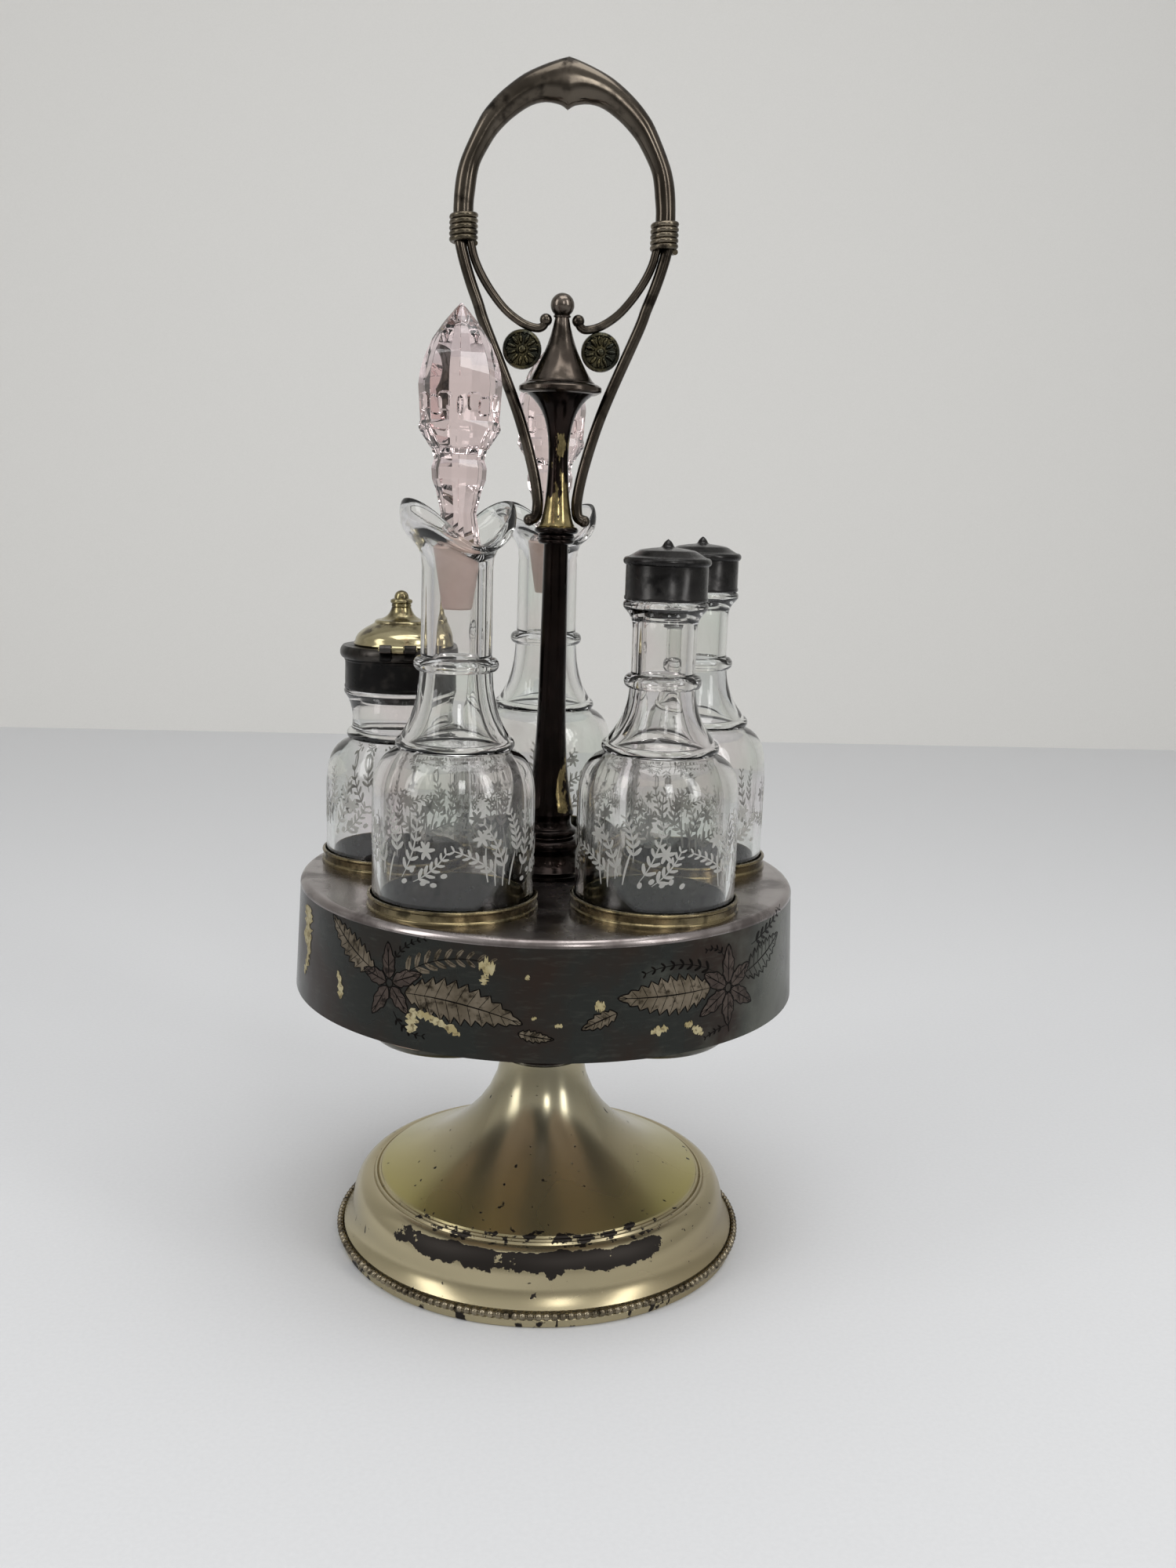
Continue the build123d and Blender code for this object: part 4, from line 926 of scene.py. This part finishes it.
# %% Bottle outlines
def body_line(low, r, top):
    """Outside of a bottle from its foot to the shoulder ring."""
    return [
        (0, low + 1.4), ((8, low + 1.3), (13, low + 0.6), (r - 8.5, low)), (r - 8.0, low),
        ((r - 3.6, low), (r, low + 3.6), (r, low + 8.0)), (r, top - 18.0),
        ((r, top - 8.5), (r - 1.1, top - 2.8), (18.0, top - 0.3)),
        (17.6, top), ((19.2, top + 0.6), (19.0, top + 3.0), (17.2, top + 3.7)),
    ]


def floor_line(low, inner):
    """Inside of the wall's foot and the floor."""
    floor = low + 6.0
    return [
        (inner, floor + 5), ((inner, floor + 2.2), (inner - 2.2, floor), (inner - 5, floor)),
        ((12, floor + 0.2), (6, floor + 1.6), (0, floor + 1.8)),
    ]


def inside_line(low, r, top, bead):
    """Inside of the body, from the neck's bore down to the floor."""
    inner = r - glass_wall
    return [
        (bore, bead), ((bore, bead - 9), (bore + 1.6, top + 5), (15.4, top - 0.4)),
        ((inner - 1.5, top - 4.6), (inner, top - 9.5), (inner, top - 18.0)),
        *floor_line(low, inner),
    ]


def neck_line(top, bead, neck):
    """From the shoulder ring up the concave neck and over its bead."""
    ring = top + 3.7
    rise = bead - ring
    return [
        ((13.4, ring + rise * 0.25), (neck + 0.7, ring + rise * 0.5), (neck + 0.3, bead - 2.3)),
        ((neck + 2.9, bead - 2.0), (neck + 2.9, bead + 2.0), (neck, bead + 2.3)),
    ]


bore = 7.2
glass_wall = 2.6
shoulder, jar_shoulder, jar_lip = 93.6, 86.8, 104.4
oil_bead, oil_rim, lip_start = 120.0, 170.0, 20.8
shaker_bead, shaker_seat = 116.0, 141.0
pinch_depth, pinch_turn = 13.2, radians(30.0)


def oil_bottle(name, node, body):
    """Bottle whose lip was pinched while soft."""
    low, r = heights(node)[0], radius_of(node)
    top, bead, rim_top = low + shoulder, low + oil_bead, low + oil_rim
    neck, lip, start = 10.9, 18.4, rim_top - lip_start
    outline = [
        *body_line(low, r, top), *neck_line(top, bead, neck + 0.2), (neck, start),
        ((neck, start + 11), (lip, rim_top - 11.5), (lip, rim_top - 3.4)),
        ((lip, rim_top - 1.2), (lip - 0.5, rim_top), (lip - 1.0, rim_top)),
        ((lip - 1.5, rim_top), (lip - 1.9, rim_top - 1.4), (lip - 1.9, rim_top - 3.4)),
        ((lip - 1.9, rim_top - 9.5), (bore + 0.4, start + 11.5), (bore, start)),
        *inside_line(low, r, top, bead),
    ]
    bm = bmesh.new()
    spin_into(bm, outline)
    for vert in bm.verts:
        rise = (vert.co.z / MM - start) / (rim_top - start)
        if rise > 0:
            pinch = (1 - cos(2 * (atan2(vert.co.y, vert.co.x) - pinch_turn))) / 2
            vert.co.z -= pinch_depth * MM * rise ** 1.3 * pinch ** 1.15
            vert.co.xy *= 1 - 0.26 * pinch * rise ** 2
    bmesh.ops.transform(bm, matrix=at_axis(node), verts=bm.verts)
    finished(bm, name, body, [bottle_glass], [node], sharp=70)


def shaker_bottle(name, node, body):
    """Bottle with a finish for a screwed cap above its seat."""
    (low, high), r = heights(node), radius_of(node)
    top, bead, seat = low + shoulder, low + shaker_bead, low + shaker_seat
    neck, lip, finish = 10.1, 13.2, 11.8
    lathed(name, body, bottle_glass, [
        *body_line(low, r, top), *neck_line(top, bead, neck), (neck, seat - 9),
        ((neck, seat - 5), (lip - 1.4, seat - 4), (lip, seat - 2.2)),
        ((lip + 0.4, seat - 1.2), (lip, seat - 0.2), (lip - 0.8, seat)), (finish, seat),
        (finish, high - 0.6), (finish - 0.6, high), (bore + 0.5, high), (bore, high - 0.5),
        *inside_line(low, r, top, bead),
    ], [node], at_axis(node), ring=False)


oil_bottle("front_oil_glass", "oil_bottle_front", "front_oil")
oil_bottle("back_oil_glass", "oil_bottle_back", "back_oil")
shaker_bottle("front_shaker_glass", "shaker_bottle_front", "front_shaker")
shaker_bottle("right_shaker_glass", "shaker_bottle_right", "right_shaker")

(low, high), jar_r = heights("mustard_jar"), radius_of("mustard_jar")
ring_at, lip_at = low + jar_shoulder, low + jar_lip
inner = jar_r - glass_wall
lathed("mustard_glass", "mustard", bottle_glass, [
    *body_line(low, jar_r, ring_at),
    ((16.5, ring_at + 4.3), (16.1, lip_at - 6), (19.4, lip_at - 1.8)),
    ((19.9, lip_at - 1.2), (19.8, lip_at), (19.0, lip_at)), (17.1, lip_at), (17.1, high), (14.2, high),
    (14.2, ring_at + 3.0), ((inner - 1.5, ring_at - 2.6), (inner, ring_at - 9.5), (inner, ring_at - 18.0)),
    *floor_line(low, inner),
], ["mustard_jar"], at_axis("mustard_jar"), ring=False)

# %% [markdown]
# A copper wheel fed with grit cut sprays of flowers and ferns into the glass. The cuts are
# shallow and matt white. They are drawn with the same cut and fern tools as the band and
# wrapped on each bottle, four sprays round the body.


# %% Wheel engraving on the bottles
def spray(bm, middle, low, rng):
    """One engraved spray: grass, ferns, two flowers and berries above the cup's lip."""
    for blade in range(4):
        foot = (middle - 9 + blade * 2.6, low + 56 + rng.uniform(-2, 2))
        cut(bm, bent(foot, 100 - 6 * blade, rng.uniform(8, 14), -14, 5), 0.7)
    for dx, dz, heading, length in ((-6, 58, 140, 16), (-3, 58, 105, 18), (4, 57, 62, 19),
                                    (2, 63, 84, 14), (8, 56, 30, 14)):
        way = heading + rng.uniform(-8, 8)
        cut(bm, bent((middle + dx, low + dz), way, length, 30, 8), 0.45)
        fern(None, bm, (middle + dx, low + dz), way, length, 30, 6, 3.8, 0.36)
    for flower_x, flower_z in ((12, 66), (-11, 70)):
        for index in range(6):
            way = 60 * index + rng.uniform(-8, 8)
            cut(bm, bent((middle + flower_x, low + flower_z), way, 3.0, 10, 5), 1.3)
    for index in range(5):
        spot = (middle + 4 + index * 3.2, low + 55 + rng.uniform(0, 4))
        cut(bm, bent(spot, rng.uniform(0, 90), 2.0, 0, 3), 1.6)


def radius_along(line, widest):
    """Gives a glass body's radius at a height, read off its side line."""
    def radius_at(up):
        for (z_low, r_low), (z_high, r_high) in zip(line, line[1:]):
            if z_low <= up <= z_high:
                return r_low + (r_high - r_low) * (up - z_low) / (z_high - z_low)
        return widest
    return radius_at


for seed, (node, body) in enumerate({
    "oil_bottle_front": "front_oil", "shaker_bottle_front": "front_shaker", "oil_bottle_back": "back_oil",
    "shaker_bottle_right": "right_shaker", "mustard_jar": "mustard",
}.items()):
    rng = random.Random(seed + 11)
    low, r = heights(node)[0], radius_of(node)
    top = low + (jar_shoulder if "jar" in node else shoulder)
    side_line = [(up, out) for out, up in traced(body_line(low, r, top)) if out > 18.0 and up > low + 8]
    bm = bmesh.new()
    for quarter in range(4):
        spray(bm, 2 * pi * r * (quarter / 4 - 0.375 + 0.05 * seed), low, rng)
    wrapped(bm, f"engraving_{node}", body, frost, at_axis(node).translation,
            radius_along(side_line, r), 0.02, 0.04)

# %% [markdown]
# The stoppers are cut lead glass with a pale rose tint, octagonal, with a scalloped waist and
# a pointed head, and a ring of oval printies where the head is widest. Rings of eight corners
# are grown one from the other, and a hard edge wherever two facets meet keeps each a mirror.
# The plug below was ground to fit the neck, so it is matt.


# %% Cut stoppers
plug_length = 19.6
facets = 8


def stopper(name, node, body):
    """Cut head over a ground plug."""
    low = heights(node)[0]
    seat = low + plug_length
    rings = [(0, 7.0), (9.5, 5.4), (16.5, 7.0), (19.5, 8.2), (23.0, 8.4), (25.4, 7.6), (28.5, 8.4),
             (34.6, 12.4), (36.6, 11.9), (47.2, 12.6), (51.0, 12.1), (54.8, 11.0), (60.2, 8.7), (65.0, 5.4),
             (69.6, 1.5), (70.8, 0.3)]
    bm = bmesh.new()

    def level(rise, radius):
        return Matrix.Translation((0, 0, (seat + rise) * MM)) @ Matrix.Diagonal(
            (radius * MM, radius * MM, MM, 1))

    def between(lowest, highest):
        """Faces whose middles lie between two heights above the seat."""
        return [f for f in bm.faces if lowest < f.calc_center_median().z / MM - seat < highest]

    def sunk(faces, border_mm, depth_mm):
        bmesh.ops.inset_individual(bm, faces=faces, thickness=border_mm * MM, depth=-depth_mm * MM,
                                   use_even_offset=True)

    carried(bm, [level(*ring) for ring in rings], facets)
    sunk([f for f in between(29.5, 33.5) if len(f.verts) == 4], 0.7, 0.45)
    printies = [f for f in between(39.0, 45.0) if len(f.verts) == 4]
    sunk(printies, 2.5, 0.0)
    bevelled(bm, [v for f in printies for v in f.verts], 1.5, 4, affect="VERTICES")
    sunk([f for f in between(39.0, 45.0) if len(f.verts) > 12 and f.calc_area() < 40e-6
          and f.calc_center_median().xy.length > 10 * MM], 0.5, 1.0)
    bevelled(bm, [e for e in bm.edges if e.calc_face_angle(0) > radians(18)], 0.16, 1, clamp=True)
    plug = [(0, low), (4.3, low), (4.7, low + 0.6), (7.5, seat - 0.6), (7.1, seat - 0.1), (0, seat - 0.1)]
    spin_into(bm, plug, steps=48, material=1)
    bmesh.ops.transform(bm, matrix=at_axis(node), verts=bm.verts)
    finished(bm, name, body, [stopper_glass, plug_glass], [node], sharp=14)


stopper("cut_stopper_front", "oil_stopper_front", "front_stopper")
stopper("cut_stopper_back", "oil_stopper_back", "back_stopper")

# %% [markdown]
# The shaker caps are pewter, turned and blackened, with a bead where the wall meets the
# dome and a small point on top. Pouring holes are sunk in the dome in two rings: each face
# chosen on the dome is inset to a smaller one and pushed in.

# %% Shaker caps
cap_metal = tarnished("blackened_turned_pewter", "#343332", "#262525", "#141313", 5, (0.2, 0.34),
                      metallic=0.85)
for hand, body in (("front", "front_cap"), ("right", "right_cap")):
    node = f"shaker_cap_{hand}"
    low = heights(node)[0]
    r, edge = 13.1, low + 13.2
    bm = bmesh.new()
    spin_into(bm, [
        (12.1, low), (12.9, low), (r, low + 0.3), (r, low + 1.0), (r - 0.25, low + 1.3),
        (r - 0.25, edge - 3.0), (r - 0.3, edge - 2.5),
        ((r + 0.9, edge - 2.3), (r + 0.9, edge - 0.3), (r - 0.3, edge)),
        (r - 1.0, edge + 0.1), ((r - 4, edge + 1.8), (9.0, edge + 2.1), (8.1, edge + 2.25)),
        (6.7, edge + 2.5), (5.1, edge + 2.75), (3.7, edge + 2.9),
        ((3.0, edge + 3.0), (2.6, edge + 3.0), (2.3, edge + 3.1)),
        ((1.4, edge + 3.5), (1.9, edge + 4.4), (0, edge + 5.6)),
        (0, edge + 1.5), ((5, edge + 1.2), (9, edge + 0.9), (12.1, edge - 1.6)),
    ], steps=72, ring=True)
    bmesh.ops.dissolve_degenerate(bm, dist=1e-6, edges=bm.edges)
    for ring_radius, count in ((4.4, 6), (7.4, 12)):
        for index in range(count):
            angle = 2 * pi * (index + 0.5) / count
            aim = Vector((ring_radius * cos(angle), ring_radius * sin(angle), edge + 2.6)) * MM
            dome = min((f for f in bm.faces if f.normal.z > 0.5),
                       key=lambda f: (f.calc_center_median() - aim).length)
            bmesh.ops.inset_individual(bm, faces=[dome], thickness=0.06 * MM, depth=0)
            bmesh.ops.inset_individual(bm, faces=[dome], thickness=0.02 * MM, depth=-0.7 * MM)
    bmesh.ops.transform(bm, matrix=at_axis(node), verts=bm.verts)
    finished(bm, f"cap_{hand}", body, [cap_metal], [node], sharp=40)

# %% [markdown]
# The mustard jar has a black collar with a heavy bead round its top and a hinge behind its
# tarnished brass lid. The lid is a low dome with a step and a turned knob. The hinge is
# three barrels on a pin, so each barrel is a short tube on the pin's line.

# %% Mustard mount and lid
collar_black = tarnished("satin_black_collar", "#1b1a19", "#131212", "#2a2725", 6, (0.26, 0.42),
                         metallic=0.8)
bead_grey = tarnished("dark_grey_bead", "#4b4845", "#35322f", "#211f1d", 5, (0.25, 0.4))
lid_brass = tarnished("tarnished_brass_lid", "#b3a987", "#948a68", "#5d5440", 6, (0.12, 0.26))
jar_axis = at_axis("mustard_jar")
low = heights("mustard_jar")[0] + jar_lip
rim_low, rim_top = low + 10.4, low + 14.9
pin_line = sum((Vector(corner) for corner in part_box("mustard_hinge_pin")), Vector()) / 2
along_pin = Matrix.Rotation(pi / 2, 4, "Y")
barrel, gap = 4.0, 0.15


def knuckle_outline(length):
    return [(0.8, -length / 2), (1.35, -length / 2), (1.5, -length / 2 + 0.15), (1.5, length / 2 - 0.15),
            (1.35, length / 2), (0.8, length / 2)]


def hinge_leaf(bm, offset, lean, depth, height):
    """A small plate with soft edges, placed from the pin's middle."""
    made = bmesh.ops.create_cube(bm, size=1, matrix=Matrix.Translation(pin_line + Vector(offset) * MM)
                                 @ Matrix.Rotation(lean, 4, "X")
                                 @ Matrix.Diagonal((barrel * MM, depth * MM, height * MM, 1)))
    bevelled(bm, list({e for v in made["verts"] for e in v.link_edges}), 0.2, 2)


bm = bmesh.new()
spin_into(bm, [
    (17.3, low), (19.3, low), (19.55, low + 0.4), (19.55, low + 1.0), (19.35, low + 1.2),
    (19.35, rim_low - 0.8), (19.6, rim_low - 0.5), (19.6, rim_low), (17.3, rim_low),
], jar_axis, ring=True)
spin_into(bm, [
    (15.4, rim_low + 0.02), (19.7, rim_low + 0.02),
    ((21.4, rim_low + 0.5), (21.6, rim_top - 1.4), (20.1, rim_top)), (15.4, rim_top),
], jar_axis, ring=True, material=1)
for side in (-1, 1):
    spot = Matrix.Translation(pin_line + Vector((side * (barrel + gap) * MM, 0, 0))) @ along_pin
    spin_into(bm, knuckle_outline(barrel), spot, steps=24, ring=True, material=1)
    hinge_leaf(bm, (side * (barrel + gap), 1.6, -2.2), radians(-38), 1.1, 4.2)
finished(bm, "mustard_mount", "mustard", [collar_black, bead_grey],
         ["mustard_collar"], sharp=35)
lathed("hinge_pin", "mustard", lid_brass, [
    (0, -6.55), (0.55, -6.55), (0.7, -6.4), (0.7, 6.4), (0.55, 6.55), (0, 6.55)],
    ["mustard_hinge_pin"], Matrix.Translation(pin_line) @ along_pin, ring=False, steps=24)

lid_low = rim_top + 0.2
bm = bmesh.new()
spin_into(bm, [
    (15.4, 0), (16.2, 0), (16.4, 0.4), (16.3, 0.9), (15.9, 1.3),
    ((15.6, 4.4), (12.4, 5.6), (9.2, 7.6)),
    ((9.4, 8.4), (8.4, 8.9), (7.8, 8.7)),
    ((5.6, 9.4), (4.0, 10.4), (3.4, 13.0)), (0, 13.0),
    (0, 7.0), (7.2, 7.0), ((10.8, 5.0), (14.8, 3.4), (15.4, 0)),
], at_axis("mustard_jar", lid_low), ring=True)
bmesh.ops.dissolve_degenerate(bm, dist=1e-6, edges=bm.edges)
spin_into(bm, knuckle_outline(barrel), Matrix.Translation(pin_line) @ along_pin, steps=24, ring=True)
hinge_leaf(bm, (0, 4.0, 0.1), 0, 5.8, 0.8)
finished(bm, "mustard_lid_dome", "lid", [lid_brass], ["mustard_lid"], sharp=35)
tall = tallness("mustard_knob")
turned("mustard_knob_turned", "mustard_knob", lid_brass, [
    (0, 0), (3.2, 0), (3.45, 0.5), (3.3, 1.3),
    ((4.0, 1.6), (4.0, 2.6), (3.4, 2.8)), (2.5, 3.2),
    ((2.5, 5.2), (1.2, tall), (0, tall)),
], body="lid", ring=False, steps=48)

# %% [markdown]
# Some pieces hardly show: the tie rod, its nut and washers, and the bush in the neck. Their
# CAD shapes are right as they are, so they keep them and only take a real finish.

# %% Finishes for the carried-over nodes
steel = tarnished("drawn_steel_rod", "#8d8d8c", "#747372", "#4b4643", 4, (0.25, 0.4), (1, 1, 0.1))
bush_brass = tarnished("turned_brass_bush", "#a88f55", "#8f7843", "#5b4a28", 4, (0.22, 0.38))
for node, finish in {"tie_rod": steel, "rod_washer": steel, "rod_nut": steel, "thrust_washer": steel,
                     "foot_neck_bush": bush_brass}.items():
    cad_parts[node].data.materials.clear()
    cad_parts[node].data.materials.append(finish)

# %% [markdown]
# A pale cloth and wall, four soft boxes and a room that is darker in front make a small
# product studio. Polished metal is only as good as what it mirrors: the bright boxes give
# long soft highlights, and the darker side of the room gives the edges that show the shape.


# %% Studio
def matt(name, colour, weave_colour):
    material, tree, shader = surface(name, Roughness=0.85)
    coloured(tree, shader, mixed(tree, speckle(tree, 1.5, 2.0), colour, weave_colour))
    return material


def sheet(name, size, matrix, finish):
    bm = bmesh.new()
    bmesh.ops.create_grid(bm, x_segments=1, y_segments=1, size=size, matrix=matrix)
    mesh = bpy.data.meshes.new(name)
    bm.to_mesh(mesh)
    bm.free()
    mesh.materials.append(finish)
    plane = bpy.data.objects.new(name, mesh)
    bpy.context.scene.collection.objects.link(plane)


sheet("studio_floor", 3.0, Matrix.Translation((0, 0, 0)), matt("pale_cloth", "#dedfe1", "#d6d7d9"))
sheet("studio_wall", 3.0, Matrix.Translation((0, 1.15, 0.0)) @ Matrix.Rotation(pi / 2, 4, "X"),
      matt("pale_wall", "#efeeeb", "#e9e8e5"))


def softbox(name, place, aim, size, power):
    lamp = bpy.data.lights.new(name, "AREA")
    lamp.shape = "RECTANGLE"
    lamp.size, lamp.size_y = size
    lamp.energy = power
    light = bpy.data.objects.new(name, lamp)
    light.location = place
    light.rotation_euler = (Vector(aim) - Vector(place)).to_track_quat("-Z", "Y").to_euler()
    bpy.context.scene.collection.objects.link(light)


middle = (0, 0, 0.18)
softbox("box_over", (0.1, -0.2, 1.3), middle, (0.9, 0.6), 5.0)
softbox("box_left", (-1.0, -0.5, 0.7), middle, (0.35, 0.9), 3.2)
softbox("box_right", (0.9, -0.75, 0.75), middle, (0.25, 0.9), 3.6)
softbox("box_window", (0.25, -1.3, 0.8), middle, (0.22, 0.5), 2.2)
world = bpy.data.worlds.new("room")
bpy.context.scene.world = world
world.use_nodes = True
tree = world.node_tree
sky = add(tree, "ShaderNodeTexCoord").outputs["Generated"]
aim = add(tree, "ShaderNodeSeparateXYZ", {"Vector": sky}).outputs
up = aim["Z"]
shade = add(tree, "ShaderNodeValToRGB", {"Fac": ramped(tree, up, -1.0, 1.0)}, stops=[
    (0.0, "#b8b6b2"), (0.47, "#b4b3af"), (0.56, "#bdbcb8"), (0.72, "#dddcda"), (1.0, "#f2f2f2")])
front = ramped(tree, aim["Y"], 0.1, -0.7, 0.0, 0.42)
level = joined(tree, "MULTIPLY", front, ramped(tree, joined(tree, "ABSOLUTE", up, 0.0), 0.55, 0.1))
room = mixed(tree, level, shade.outputs["Color"], "#716e6b")
tree.links.new(room, tree.nodes["Background"].inputs["Color"])
tree.nodes["Background"].inputs["Strength"].default_value = 0.74

# %% [markdown]
# The camera stands a little above the drum and looks slightly down, like a person at a table.
# A lens of normal length at half a metre gives the strong ellipses of the drum and the foot.

# %% Camera
camera_data = bpy.data.cameras.new("camera")
camera_data.sensor_width = 36.0
camera_data.lens = 34.2
camera = bpy.data.objects.new("camera", camera_data)
camera.location = (-0.0266, -0.5069, 0.2597)
camera.rotation_euler = (radians(90 - 10.63), radians(-1.8), radians(-4.17))
bpy.context.scene.collection.objects.link(camera)
bpy.context.scene.camera = camera
bpy.context.scene.view_settings.view_transform = "Standard"
